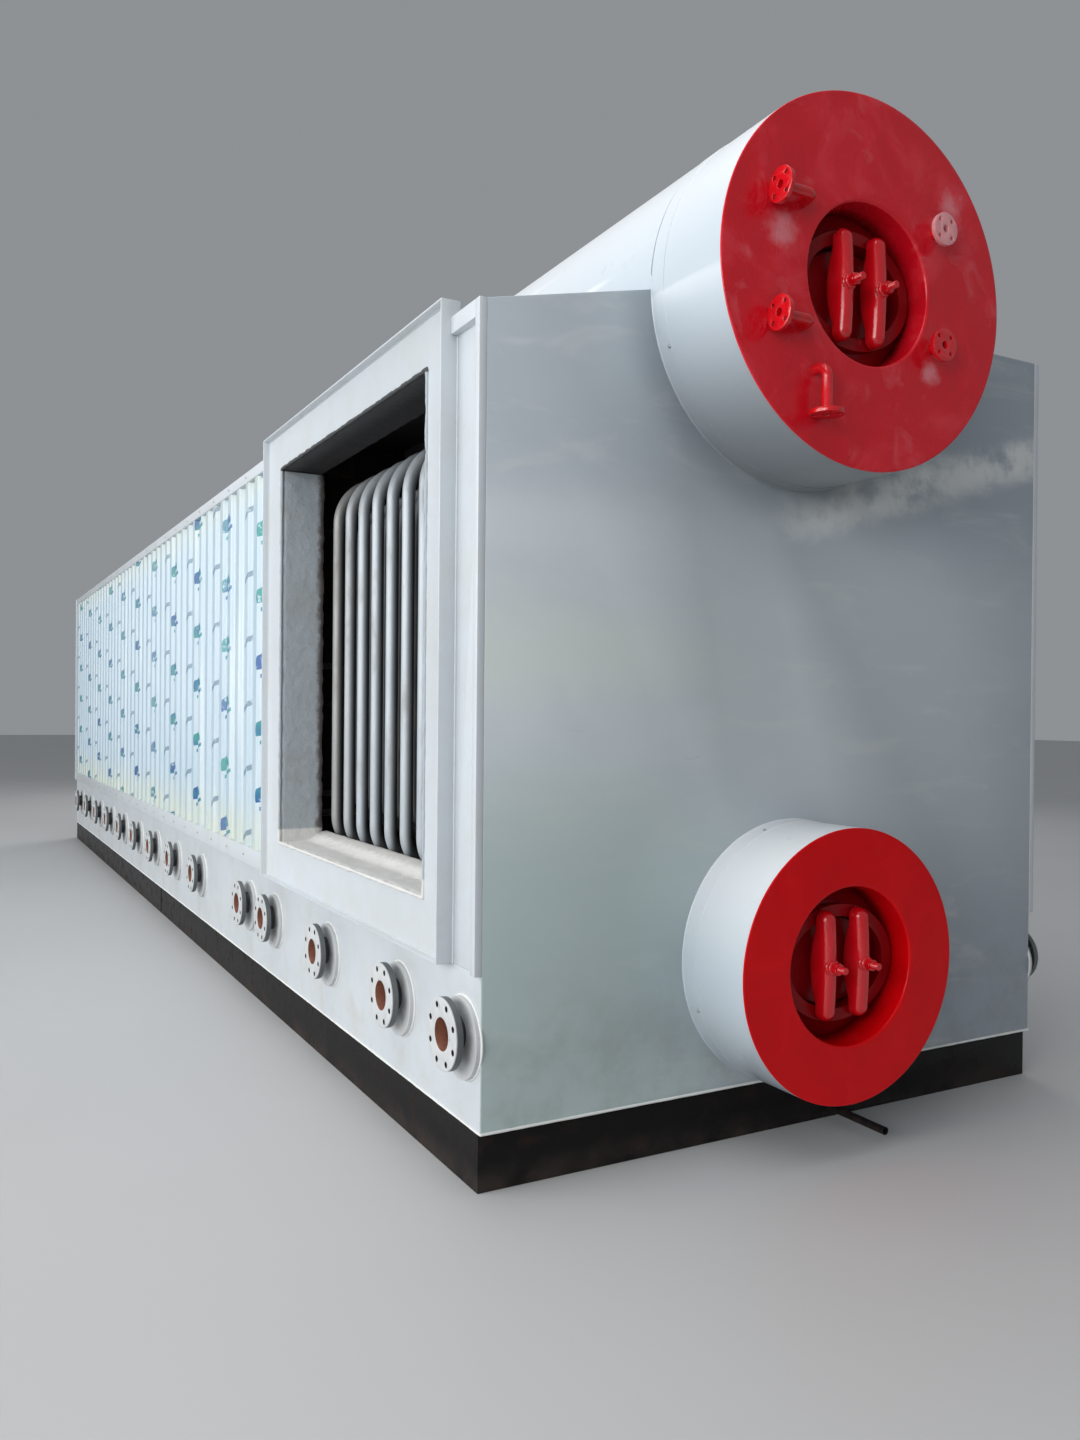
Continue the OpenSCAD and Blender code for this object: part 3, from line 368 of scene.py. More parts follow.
def refractory():
    """Rough castable: grey on the jambs, pale on the sill and darker towards the tubes, with
    painted shade under the lintel.
    """
    f = Finish("refractory")
    grit = f.noise(70, 6, 0.75)
    lumps = f.cells(26)
    stain = f.ease(f.noise(5, 5, 0.65), 0.45, 0.7)
    trowel = f.noise(14, 4, 0.6, f.stretch(1, 0.3, 1), 0.6)
    sill = 1 - f.ease(f.z, OPENING_LOW + 0.055, OPENING_LOW + 0.065)
    lintel = f.ease(f.z, OPENING_HIGH - 0.014, OPENING_HIGH - 0.008)
    hue = f.mix(grit, tone(160, 169, 175), tone(182, 190, 196))
    hue = f.mix(stain * 0.25, hue, tone(150, 138, 124))
    chamber_edge = (-1.078, -1.052)
    inner = f.ease(f.x + (f.noise(22, 4, 0.7) - 0.5) * 0.05, *chamber_edge)
    hue = f.mix(inner * 0.8, hue, tone(78, 58, 48))
    pale = f.mix(trowel, tone(204, 203, 199), tone(228, 228, 226))
    # The sill darker towards the tubes: partly brownish castable, partly painted shade of the
    # tubes.
    back = f.ease(f.x + (f.noise(30, 5, 0.7) - 0.5) * 0.05, *chamber_edge)
    pale = f.mix(back * 0.4, pale, tone(142, 136, 130))
    hue = f.mix(sill, hue, pale)
    # Painted shade under the lintel, darkest deep inside.
    dark = f.mix(f.ease(f.x, -1.23, -1.13), tone(72, 74, 76), tone(36, 34, 36))
    hue = f.mix(lintel, hue, dark)
    relief = f.bump(grit, 0.004)
    relief = f.bump(lumps, 0.003, 0.6, relief)
    return f.set(Base_Color=hue, Roughness=0.93, Normal=relief)


def soot():
    """Dark brown lining inside the chamber."""
    f = Finish("sooty_lining", Specular_IOR_Level=0.2)
    grit = f.noise(40, 6, 0.75)
    panels = 1 - f.ease(f.cells(1.6, None, "DISTANCE_TO_EDGE"), 0.0, 0.02)
    hue = f.mix(grit, tone(22, 18, 17), tone(50, 42, 38))
    hue = f.mix(panels * 0.6, hue, tone(70, 58, 52))
    return f.set(Base_Color=hue, Roughness=0.95, Normal=f.bump(grit, 0.004))


def tube_paint():
    """Boiler tubes in grey primer, with scale, rubbed places and painted shade on their far sides
    and rear rows.
    """
    f = Finish("tube_primer")
    scale_marks = f.ease(f.noise(9, 5, 0.65, f.stretch(1, 1, 0.4)), 0.45, 0.75)
    hue = f.mix(f.noise(3.1, 4), tone(156, 165, 171), tone(186, 193, 198))
    far = f.ease(f.y, -3.50, -3.28)
    hue = f.mix(far * 0.55, hue, tone(128, 118, 110))
    # Painted shade on the tubes' far sides and on the rows behind, stopping short of the bends at
    # the top.
    behind = f.ease(f.x, -1.014, -0.982) * (1 - f.ease(f.z, 2.15, 2.45))
    hue = f.mix(behind * 0.92, hue, tone(38, 40, 44))
    hue = f.mix(scale_marks * 0.35, hue, tone(122, 112, 104))
    relief = f.bump(f.noise(130, 4, 0.6), 0.0005)
    return f.set(Base_Color=hue, Roughness=0.4 + scale_marks * 0.25, Metallic=0.25, Normal=relief)


def drum_steel():
    """Plain rolled plate with mill scale and light rust."""
    f = Finish("drum_steel")
    rust = f.ease(f.noise(8, 6, 0.7), 0.5, 0.7)
    hue = f.mix(rust, tone(92, 92, 96), tone(112, 78, 60))
    relief = f.bump(f.noise(60, 4, 0.6), 0.0006)
    return f.set(Base_Color=hue, Roughness=0.5 + rust * 0.3, Metallic=0.5, Normal=relief)


def nozzle_paint():
    """Grey flanges with painted shade on their rims and backs, dark necks of dark paint and
    painted shade, rusty brown inside their bores and painted shade in their bolt holes.
    """
    f = Finish("nozzle_grey")
    out = abs(f.x)
    patches = f.noise(11, 5, 0.6)
    rust = f.ease(f.noise(30, 5, 0.7), 0.58, 0.72)
    hue = f.mix(patches, tone(180, 184, 186), tone(206, 208, 208))
    hue = f.mix(rust * 0.3, hue, tone(126, 92, 70))
    pad, flange = 0.0185, 0.0238
    neck = out.above(SIDE_X + pad) * out.below(NOZZLE_FACE - flange)
    front = f.ease(out, NOZZLE_FACE - 0.005, NOZZLE_FACE - 0.002)
    # Painted shade on the flanges' rims and backs, all but their front faces.
    rim = out.above(SIDE_X + 0.0187) * (1 - front)
    hue = f.mix(rim * 0.9, hue, f.mix(patches, tone(42, 46, 49), tone(84, 88, 90)))
    # Dark necks: partly their own dark paint, partly painted shade behind the flanges.
    hue = f.mix(neck, hue, f.mix(patches, tone(22, 26, 28), tone(52, 56, 58)))
    scale = f.mix(f.noise(46, 5, 0.7), tone(92, 52, 38), tone(160, 104, 82))
    hue = f.mix(f.made("bore"), hue, scale)
    # Painted shade in the bolt holes.
    hue = f.mix(f.made("bolt_hole"), hue, tone(34, 34, 36))
    relief = f.bump(f.noise(95, 4, 0.6), 0.0004)
    return f.set(Base_Color=hue, Roughness=0.38 + patches * 0.14, Normal=relief)


def caulk():
    """White sealant, smeared by a finger."""
    f = Finish("white_caulk")
    smear = f.noise(24, 4, 0.6, f.stretch(0.3, 1, 1))
    hue = f.mix(smear, tone(214, 216, 214), tone(236, 237, 234))
    return f.set(Base_Color=hue, Roughness=0.5 + smear * 0.1, Normal=f.bump(smear, 0.0008))


def zinc():
    """Zinc-plated screws, a little dull."""
    f = Finish("zinc_plate")
    dull = f.noise(90, 4, 0.6)
    hue = f.mix(dull, tone(168, 170, 172), tone(206, 208, 208))
    return f.set(Base_Color=hue, Metallic=0.8, Roughness=0.35 + dull * 0.2,
                 Normal=f.bump(dull, 0.0001))


FINISHES = {make.__name__: make() for make in (
    end_paint, side_paint, jacket_paint, base_paint, sheet_film, refractory, soot, tube_paint,
    drum_steel, nozzle_paint, caulk, zinc)}
FINISHES.update({
    "red_cover": red_paint("red_cover", wave=0.0034, hazy=0.42, near=RED_SMEARS, coat=0.3),
    "red_cover_low": red_paint("red_cover_low", (228, 2, 12), 0.0004, 0.03, shine=0.14),
    "red_casting": red_paint("red_casting", (222, 12, 26), 0.0005, 0.12, shine=0.5, coat=0.6,
                             pale=[(DRUM_X + 0.280, UPPER_Z + 0.216)]),
    "red_head": red_paint("red_head", (150, 6, 16), 0.0010, 0.03, shine=0.15),
})

# What the names of each finish's nodes start with
NODE_FINISHES = {
    "end_paint": ("end_plate", "roof"),
    "side_paint": ("side_band", "top_trims", "foot_trims", "flat_panel", "flue_frame",
                   "corner_posts", "recess_panel"),
    "jacket_paint": ("upper_jacket", "lower_jacket"),
    "base_paint": ("base", "floor_plate", "drain_pipe"),
    "sheet_film": ("cladding",),
    "red_cover": ("upper_cover",),
    "red_cover_low": ("lower_cover",),
    "red_casting": ("manhole_yokes", "manhole_studs", "gauge_nozzles", "blowdown_nozzle"),
    "red_head": ("upper_head", "lower_head", "manhole_plates"),
    "refractory": ("flue_lining",),
    "soot": ("lining", "band_linings", "end_linings", "partition"),
    "tube_paint": ("tubes",),
    "drum_steel": ("upper_drum", "lower_drum"),
    "nozzle_paint": ("side_nozzles",),
}
for finish, starts in NODE_FINISHES.items():
    for name, node in NODES.items():
        if name.startswith(starts):
            node.data.materials.clear()
            node.data.materials.append(FINISHES[finish])


# Camera, light and floor

def linked(name, data):
    """A new object in the scene."""
    thing = bpy.data.objects.new(name, data)
    bpy.context.scene.collection.objects.link(thing)
    return thing


def camera():
    """The photograph's own view, solved from the casing's edges."""
    place = Vector((-2.6350, -8.1465, 1.4276))
    azimuth, elevation, roll = 0.50084, -0.00572, 0.00846
    focal_px, height_px = 1110.78, 1440
    level = math.cos(elevation)
    ahead = Vector((math.sin(azimuth) * level, math.cos(azimuth) * level, math.sin(elevation)))
    right = Vector((math.cos(azimuth), -math.sin(azimuth), 0))
    down = ahead.cross(right)
    turned_right = math.cos(roll) * right - math.sin(roll) * down
    turned_down = math.sin(roll) * right + math.cos(roll) * down
    data = bpy.data.cameras.new("camera")
    data.sensor_fit = "VERTICAL"
    data.sensor_height = 24
    data.lens = focal_px / height_px * data.sensor_height
    data.clip_end = 200
    thing = linked("camera", data)
    turn = Matrix((turned_right, -turned_down, -ahead)).transposed()
    thing.matrix_world = Matrix.Translation(place) @ turn.to_4x4()
    bpy.context.scene.camera = thing


def area_light(name, place, target, size, power):
    data = bpy.data.lights.new(name, "AREA")
    data.shape = "RECTANGLE"
    data.size, data.size_y = size
    data.energy = power
    thing = linked(name, data)
    thing.visible_camera = False
    place, target = Vector(place), Vector(target)
    thing.matrix_world = (Matrix.Translation(place)
                          @ (target - place).to_track_quat("-Z", "Y").to_matrix().to_4x4())


def light():
    """Soft studio light, strongest from the side with the flue outlet."""
    bpy.context.scene.view_settings.view_transform = "Standard"
    world = bpy.data.worlds.new("studio")
    bpy.context.scene.world = world
    world.use_nodes = True
    background = world.node_tree.nodes["Background"]
    background.inputs[0].default_value = (0.90, 0.95, 1.0, 1)
    background.inputs[1].default_value = 0.30
    area_light("left_windows", (-12.5, -4.0, 4.0), (0, -3.0, 1.4), (20, 6), 1500)
    area_light("left_front", (-5.5, -9.6, 3.4), (0.2, -5.2, 1.8), (3, 2.4), 60)
    area_light("overhead", (-2.5, -4.0, 8.5), (-0.5, -2, 1), (6, 9), 360)
    area_light("rear_fill", (6, 9, 5), (0, 2, 1.5), (7, 4), 420)


def floor():
    f = Finish("pale_floor")
    hue = f.mix(f.noise(0.6, 3), tone(188, 188, 188), tone(196, 196, 196))
    material = f.set(Base_Color=hue, Roughness=0.55)
    mesh = bpy.data.meshes.new("studio_floor")
    reach = 60
    mesh.from_pydata([(-reach, -reach, 0), (reach, -reach, 0), (reach, reach, 0),
                      (-reach, reach, 0)], [], [(0, 1, 2, 3)])
    mesh.materials.append(material)
    thing = linked("studio_floor", mesh)


# Meshes

def piece(name, mesh, finish, slot, *replaced, smooth=True, crease=None):
    """Adds a finished mesh that rides on the boiler; crease is its sharp edges' angle."""
    if smooth:
        for face in mesh.polygons:
            face.use_smooth = True
    if crease:
        mesh.set_sharp_from_angle(angle=math.radians(crease))
    mesh.materials.clear()
    mesh.materials.append(FINISHES[finish])
    thing = linked(name, mesh)
    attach(thing, "root")
    if replaced:
        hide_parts(*replaced)
    return thing


def mesh_of(bm, name):
    mesh = bpy.data.meshes.new(name)
    bm.to_mesh(mesh)
    bm.free()
    return mesh


def loft(bm, rings, closed=True, caps=True, place=Matrix.Identity(4)):
    """Joins rings of points, each with as many points, into one skin."""
    rows = [[bm.verts.new(place @ Vector(p)) for p in ring] for ring in rings]
    count = len(rows[0])
    last = count if closed else count - 1
    for a, b in zip(rows, rows[1:]):
        for i in range(last):
            j = (i + 1) % count
            bm.faces.new((a[i], a[j], b[j], b[i]))
    if caps:
        bm.faces.new(list(reversed(rows[0])))
        bm.faces.new(rows[-1])
    return rows


def face_out(bm):
    bmesh.ops.recalc_face_normals(bm, faces=bm.faces)


def built(name, bm, finish, slot, *replaced, **looks):
    """Adds what a bmesh holds as a piece, its faces turned outwards."""
    face_out(bm)
    piece(name, mesh_of(bm, name), finish, slot, *replaced, **looks)


def softened(name, node, finish, slot, width):
    """A copy of a CAD node with its hard edges rounded, in the node's place."""
    bm = bmesh.new()
    bm.from_mesh(NODES[node].data)
    bmesh.ops.remove_doubles(bm, verts=bm.verts, dist=0.00002)
    bmesh.ops.dissolve_limit(bm, angle_limit=math.radians(0.5), verts=bm.verts, edges=bm.edges)
    sharp = [e for e in bm.edges if len(e.link_faces) == 2
             and e.calc_face_angle(0) > math.radians(30)]
    bmesh.ops.bevel(bm, geom=sharp, offset=width, segments=2, profile=0.5,
                    affect="EDGES", clamp_overlap=True)
    return piece(name, mesh_of(bm, name), finish, slot, node, crease=35)


def at_manholes():
    """Each manhole's place: own z points outwards from the ring's outer face."""
    for z, face in ((UPPER_Z, UPPER_FACE), (LOWER_Z, LOWER_FACE)):
        y = face + CROWN_DEPTH - RING_PROUD
        front = Matrix.Translation((DRUM_X, y, z)) @ Matrix.Rotation(math.pi / 2, 4, "X")
        yield front
        yield Matrix.Scale(-1, 4, (0, 1, 0)) @ front


YOKE_L, YOKE_W, YOKE_H = 0.356, 0.058, 0.060
YOKE_BOW, YOKE_BELLY, YOKE_SPACING = 0.010, 0.030, 0.143
STUD_D, STUD_REACH, THREAD_PITCH = 0.024, 0.056, 0.003
WASHER_R, WASHER_H = 0.0235, 0.0075
NUT_ACROSS, NUT_H = 0.036, 0.0199


def add_yoke(bm, place):
    """Lens-shaped cast bar: bowed in front, its belly in the manhole's opening."""
    steps, around = 56, 36
    half = YOKE_L / 2
    belly_half = 0.119
    middle = 0.020
    rings = []
    for i in range(steps + 1):
        along = half * math.sin((-1 + 2 * i / steps) * math.pi / 2)
        share = along / half
        end = max(0.0, (abs(along) - (half - YOKE_W / 2)) / (YOKE_W / 2))
        swell = max(0.03, math.sqrt(max(0.0, 1 - end * end)))
        crest = YOKE_H - YOKE_BOW * share * share
        belly = YOKE_BELLY * max(0.0, 1 - (along / belly_half) ** 2)
        front = (crest - middle) * swell
        back = (middle + belly - 0.001) * (0.75 + 0.25 * swell)
        ring = []
        for c, s, _ in circle(1, 0, around):
            power = 0.80 if s > 0 else 0.42
            x = YOKE_W / 2 * swell * math.copysign(abs(c) ** power, c)
            z = middle + (front * s ** 0.9 if s > 0 else -back * abs(s) ** 0.5)
            ring.append((x, along, z))
        rings.append(ring)
    loft(bm, rings, place=place)
    add_washer(bm, place @ Matrix.Translation((0, 0, YOKE_H - 0.009)), 0.0285, 0.0085)


def circle(radius, z, count):
    angles = [2 * math.pi * k / count for k in range(count)]
    return [(radius * math.cos(a), radius * math.sin(a), z) for a in angles]


def add_nut(bm, place, across, height):
    """Hexagon nut with its corners chamfered."""
    corner = across / 2 / math.cos(math.pi / 6)
    count = 48

    def ring(z, limit):
        points = []
        for k in range(count):
            a = 2 * math.pi * k / count
            flat = across / 2 / math.cos((a + math.pi / 6) % (math.pi / 3) - math.pi / 6)
            r = min(flat, limit)
            points.append((r * math.cos(a), r * math.sin(a), z))
        return points

    chamfer = height * 0.12
    rings = [ring(0, across / 2), ring(chamfer, corner), ring(height - chamfer, corner),
             ring(height, across / 2)]
    loft(bm, rings, place=place)


def add_thread(bm, place, radius, low, high, pitch):
    """Threaded stud end with a small chamfer."""
    count, per_turn = 24, 4
    rings = []
    steps = int((high - low) / pitch * per_turn)
    for i in range(steps + 1):
        z = low + (high - low) * i / steps
        ring = []
        for k in range(count):
            phase = (i / per_turn - k / count) % 1
            depth = abs(phase - 0.5) * 2 * pitch * 0.32
            near_end = max(0.0, z - (high - pitch * 0.8)) * 0.8
            r, a = radius - depth - near_end, 2 * math.pi * k / count
            ring.append((r * math.cos(a), r * math.sin(a), z))
        rings.append(ring)
    loft(bm, rings, place=place)


def add_washer(bm, place, radius, height):
    """Domed washer."""
    rim, around, steps = 0.0015, 40, 6
    rings = [circle(radius, 0, around), circle(radius, rim, around)]
    for i in range(1, steps + 1):
        a = math.pi / 2 * i / steps
        narrowed = radius * (0.45 + 0.55 * math.cos(a))
        rings.append(circle(narrowed, rim + height * math.sin(a), around))
    loft(bm, rings, place=place)


def manhole_closures():
    yokes, studs = bmesh.new(), bmesh.new()
    for place in at_manholes():
        for side in (-1, 1):
            spot = place @ Matrix.Translation((side * YOKE_SPACING / 2, 0, 0))
            add_yoke(yokes, spot)
            seat = spot @ Matrix.Translation((0, 0, YOKE_H - 0.0005))
            add_washer(studs, seat, WASHER_R, WASHER_H)
            nut = spot @ Matrix.Translation((0, 0, YOKE_H + 0.0080))
            add_nut(studs, nut @ Matrix.Rotation(0.3 * side, 4, "Z"), NUT_ACROSS, NUT_H)
            tip = YOKE_H + STUD_REACH - 0.0002
            add_thread(studs, spot, STUD_D / 2, -0.035, tip, THREAD_PITCH)
    built("manhole_yokes_cast", yokes, "red_casting", "red_paint", "manhole_yokes")
    built("manhole_studs_turned", studs, "red_casting", "red_paint", "manhole_studs", crease=32)


def drum_cover(name, node, z, radius, wave, seed, dents):
    """Red end plate of a drum: rolled edge round the recess, hammered by hand."""
    low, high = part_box(node)
    outward = -1 if low.y < 0 else 1
    face = low.y if outward < 0 else high.y
    depth = high.y - low.y
    around, roll_steps, face_steps = 256, 8, 44
    dent_depth, dent_reach, dent_ripple = 0.0022, 0.045, 0.012
    outline = [(RECESS_R, depth), (RECESS_R, depth * 0.5)]
    for i in range(roll_steps + 1):
        a = math.pi / 2 * i / roll_steps
        outline.append((RECESS_R + EDGE_ROLL * (1 - math.cos(a)),
                        EDGE_ROLL * (1 - math.sin(a))))
    first = RECESS_R + EDGE_ROLL
    for i in range(1, face_steps + 1):
        outline.append((first + (radius - 0.003 - first) * i / face_steps, 0))
    outline += [(radius - 0.0009, 0.0009), (radius, 0.003), (radius, 0.004)]
    bm = bmesh.new()
    rings = []
    for r, d in outline:
        ring = []
        for x, up, _ in circle(r, 0, around):
            share = min(1, max(0, (r - RECESS_R) / 0.03))
            share *= min(1, max(0, (radius - r) / 0.012) + 0.25)
            spot = Vector((x * 3.1 + seed, up * 3.1, seed * 1.7))
            hollow = wave * (noise.noise(spot) * 0.9 + noise.noise(spot * 2.7) * 0.5
                             + noise.noise(spot * 6.1) * 0.22)
            for dent_x, dent_z in dents:
                gap = math.hypot(x - dent_x, up - dent_z)
                bell = math.exp(-(gap / dent_reach) ** 2)
                hollow += dent_depth * bell * math.cos(gap / dent_ripple)
            push = d + share * max(-0.0020, min(0.0030, hollow))
            ring.append((DRUM_X + x, face - outward * push, z + up))
        rings.append(ring)
    loft(bm, rings, caps=False)
    inner = [[(DRUM_X + x, face - outward * d, z + up) for x, up, _ in circle(r, 0, around)]
             for r, d in ((radius, 0.004), (first, 0.0042), (RECESS_R + 0.004, EDGE_ROLL),
                          (RECESS_R + 0.004, depth), (RECESS_R, depth))]
    loft(bm, inner, caps=False)
    bmesh.ops.remove_doubles(bm, verts=bm.verts, dist=0.00001)
    built(name, bm, NODES[node].data.materials[0].name, "red_paint", node)


GAUGE_PLACES = [(-0.282, 0.196), (-0.282, -0.180), (0.280, 0.216), (0.280, -0.160),
                (-0.225, -0.306)]


def drum_covers():
    upper = (("upper_cover_front", 3.3, GAUGE_PLACES), ("upper_cover_rear", 8.1, ()))
    for node, seed, dents in upper:
        drum_cover(node + "_plate", node, UPPER_Z, UPPER_R, 0.0022, seed, dents)
    for node, seed in (("lower_cover_front", 5.2), ("lower_cover_rear", 1.4)):
        drum_cover(node + "_plate", node, LOWER_Z, LOWER_R, 0.0008, seed, ())


# What repeats or follows a path

class Pattern(Tree):
    """A geometry tree with named inputs, each given as name=socket type."""

    def __init__(self, name, **inputs):
        self.group = bpy.data.node_groups.new(name, "GeometryNodeTree")
        super().__init__(self.group)
        shape = self.group.interface
        shape.new_socket("Geometry", in_out="INPUT", socket_type="NodeSocketGeometry")
        shape.new_socket("Geometry", in_out="OUTPUT", socket_type="NodeSocketGeometry")
        self.keys = {}
        for title, kind in inputs.items():
            socket = shape.new_socket(title, in_out="INPUT", socket_type="NodeSocket" + kind)
            self.keys[title] = socket.identifier
        self.entry = self.group.nodes.new("NodeGroupInput")

    def given(self, title):
        return Value(self.group, self.entry.outputs[title])

    def end(self, geometry):
        real = self.node("GeometryNodeRealizeInstances", {}, {"Geometry": geometry})
        real = self.node("GeometryNodeSetMaterial", {},
                         {"Geometry": real, "Material": self.given("Material")})
        out = self.group.nodes.new("NodeGroupOutput")
        feed(self.group, out.inputs[0], real)

    def make(self, name, data, finish, **values):
        """Runs the tree on a mesh or curve and returns the plain mesh."""
        source = linked(name + "_path", data)
        modifier = source.modifiers.new(name, "NODES")
        modifier.node_group = self.group
        values["Material"] = FINISHES[finish]
        for title, value in values.items():
            modifier[self.keys[title]] = value
        view = bpy.context.evaluated_depsgraph_get()
        view.update()
        mesh = bpy.data.meshes.new_from_object(source.evaluated_get(view))
        source.modifiers.remove(modifier)
        bpy.data.objects.remove(source)
        return mesh


def paths(name, lines):
    """A curve object's data from lists of points; a closed line repeats its first point."""
    curve = bpy.data.curves.new(name, "CURVE")
    curve.dimensions = "3D"
    for line in lines:
        closed = (Vector(line[0]) - Vector(line[-1])).length < 1e-6
        points = line[:-1] if closed else line
        spline = curve.splines.new("POLY")
        spline.points.add(len(points) - 1)
        for point, place in zip(spline.points, points):
            point.co = (*place, 1)
        spline.use_cyclic_u = closed
    return curve


def spots(name, places):
    """A mesh of loose points, each with the direction that its fastener faces."""
    mesh = bpy.data.meshes.new(name)
    mesh.from_pydata([p for p, n in places], [], [])
    outward = mesh.attributes.new("outward", "FLOAT_VECTOR", "POINT")
    for i, (p, n) in enumerate(places):
        outward.data[i].vector = n
    return mesh


def bead_pattern():
    """A weld bead or a line of caulk along a path, uneven as a hand leaves it."""
    t = Pattern("bead", Radius="Float", Ripple="Float", Grain="Float", Step="Float",
                Material="Material")
    line = t.node("GeometryNodeResampleCurve", {"mode": "LENGTH"},
                  {"Curve": t.given("Geometry"), "Length": t.given("Step")})
    lumps = t.node("ShaderNodeTexNoise", {}, {"Scale": t.given("Grain"), "Detail": 2.0})
    size = t.given("Radius") * (1 + (lumps - 0.5) * t.given("Ripple"))
    profile = t.node("GeometryNodeCurvePrimitiveCircle", {}, {"Resolution": 7, "Radius": 1.0})
    skin = t.node("GeometryNodeCurveToMesh", {},
                  {"Curve": line, "Profile Curve": profile, "Scale": size, "Fill Caps": True})
    t.end(skin)
    return t


def fastener_pattern():
    """Copies of one fastener on loose points, each turned by chance about its axis."""
    t = Pattern("fasteners", Fastener="Object", Seed="Int", Material="Material")
    outward = t.node("GeometryNodeInputNamedAttribute", {"data_type": "FLOAT_VECTOR"},
                     {"Name": "outward"})
    turn = t.node("FunctionNodeAlignRotationToVector", {"axis": "Z"}, {"Vector": outward})
    spin = t.node("FunctionNodeRandomValue", {"data_type": "FLOAT"},
                  {2: 0.0, 3: 2 * math.pi, "Seed": t.given("Seed")}, 1)
    spin = t.node("FunctionNodeAxisAngleToRotation", {}, {"Axis": (0, 0, 1), "Angle": spin})
    turn = t.node("FunctionNodeRotateRotation", {"rotation_space": "LOCAL"},
                  {"Rotation": turn, "Rotate By": spin})
    one = t.node("GeometryNodeObjectInfo", {}, {"Object": t.given("Fastener")}, 4)
    copies = t.node("GeometryNodeInstanceOnPoints", {},
                    {"Points": t.given("Geometry"), "Instance": one, "Rotation": turn})
    t.end(copies)
    return t


def rib_pattern():
    """The ribbed sheet: a grid folded into flat-topped ribs."""
    titles = ("Side", "Start", "Length", "Foot", "Height", "Valley", "Pitch", "Crest",
              "Flank", "Depth", "Ripple", "Count")
    t = Pattern("ribs", Material="Material",
                **{title: "Int" if title == "Count" else "Float" for title in titles})
    (side, start, length, foot, height, valley, pitch, crest, flank, depth, ripple,
     count) = [t.given(title) for title in titles]
    grid = t.node("GeometryNodeMeshGrid", {},
                  {"Size X": length, "Size Y": height, "Vertices X": 1204, "Vertices Y": 14})
    here = t.node("GeometryNodeInputPosition")
    u, v = t.split(here)[:2]
    run = u * side + length * 0.5
    margin = (length - count * pitch) * 0.5
    along = run - margin
    ribbed = along.above(0) * along.below(count * pitch)
    off = abs(along % pitch - pitch * 0.5)
    edge = (off - crest * 0.5) / flank
    rise = t.node("ShaderNodeMapRange", {"interpolation_type": "SMOOTHSTEP"},
                  {"Value": edge, "To Min": 1.0, "To Max": 0.0}) * ribbed
    waves = t.node("ShaderNodeTexNoise", {}, {"Vector": here, "Scale": 2.2, "Detail": 3.0})
    out = valley + rise * depth + (waves - 0.5) * ripple
    place = t.node("ShaderNodeCombineXYZ", {},
                   {0: out * side, 1: start + run, 2: foot + v + height * 0.5})
    moved = t.node("GeometryNodeSetPosition", {}, {"Geometry": grid, "Position": place})
    t.end(moved)
    return t


BEAD = bead_pattern()
FASTENERS = fastener_pattern()
RIBS = rib_pattern()


def add_beads(name, lines, radius, finish, slot, ripple=0.5, grain=60.0, step=0.02):
    mesh = BEAD.make(name, paths(name, lines), finish, Radius=radius, Ripple=ripple,
                     Grain=grain, Step=step)
    piece(name, mesh, finish, slot)


def add_fasteners(name, shape, places, finish, slot, seed):
    """One mesh of many like fasteners; shape is the mesh of one, facing +Z."""
    one = linked(name + "_one", shape)
    mesh = FASTENERS.make(name, spots(name, places), finish, Fastener=one, Seed=seed)
    bpy.data.objects.remove(one)
    piece(name, mesh, finish, slot, crease=40)


def screw_shape(radius, height):
    """Hexagon washer-head screw."""
    bm = bmesh.new()
    loft(bm, [circle(radius * 1.5, -0.001, 16), circle(radius * 1.5, height * 0.25, 16)])
    hexagon = [circle(radius, height * 0.2, 6), circle(radius, height * 0.85, 6),
               circle(radius * 0.8, height, 6)]
    loft(bm, hexagon)
    face_out(bm)
    return mesh_of(bm, "screw_head")


def ribbed_sheets():
    valley = SIDE_X - 0.006
    for side, hand in ((-1.0, "left"), (1.0, "right")):
        node, name = "cladding_" + hand, "sheet_" + hand
        low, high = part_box(node)
        length = high.y - low.y
        mesh = RIBS.make(name, bpy.data.meshes.new(name), "sheet_film", Side=side, Start=low.y,
                         Length=length, Foot=low.z, Height=high.z - low.z, Valley=valley,
                         Pitch=RIB_PITCH, Crest=0.060, Flank=0.016, Depth=0.020,
                         Count=int(length / RIB_PITCH), Ripple=0.003)
        piece(name, mesh, "sheet_film", "ribbed_sheet", node)


def soft_edges():
    """Rolled and cut plate edges, a little rounded as paint leaves them."""
    for node in ("flue_frame", "corner_posts", "recess_panel", "flat_panel", "top_trims",
                 "foot_trims"):
        softened(node + "_plate", node, "side_paint", "side_paint", 0.0018)
    for node in ("end_plate_front", "end_plate_rear"):
        softened(node + "_sheet", node, "end_paint", "grey_paint", 0.0022)
    for node in ("roof_left", "roof_right"):
        thing = softened(node + "_edges", node, "end_paint", "grey_paint", 0.0012)
        # The roofs' downward faces are marked for painted shade.
        inside = thing.data.attributes.new("inside", "FLOAT", "POINT")
        for vertex in thing.data.vertices:
            inside.data[vertex.index].value = float(vertex.normal.z < -0.4)
    for node in ("side_nozzles_left", "side_nozzles_right"):
        thing = softened(node + "_turned", node, "nozzle_paint", "nozzle_paint", 0.0014)
        mark_holes(thing.data)
    for node in ("gauge_nozzles", "blowdown_nozzle"):
        softened(node + "_turned", node, "red_casting", "red_paint", 0.0009)
    for node in ("base_rail_left", "base_rail_right", "base_end_beams"):
        softened(node + "_rolled", node, "base_paint", "base_paint", 0.0025)


BORE_R, BOLT_CIRCLE_R, BOLT_HOLE_R, BOLT_TURN = 0.050, 0.090, 0.009, 45
HOLE_EDGE = 0.0006


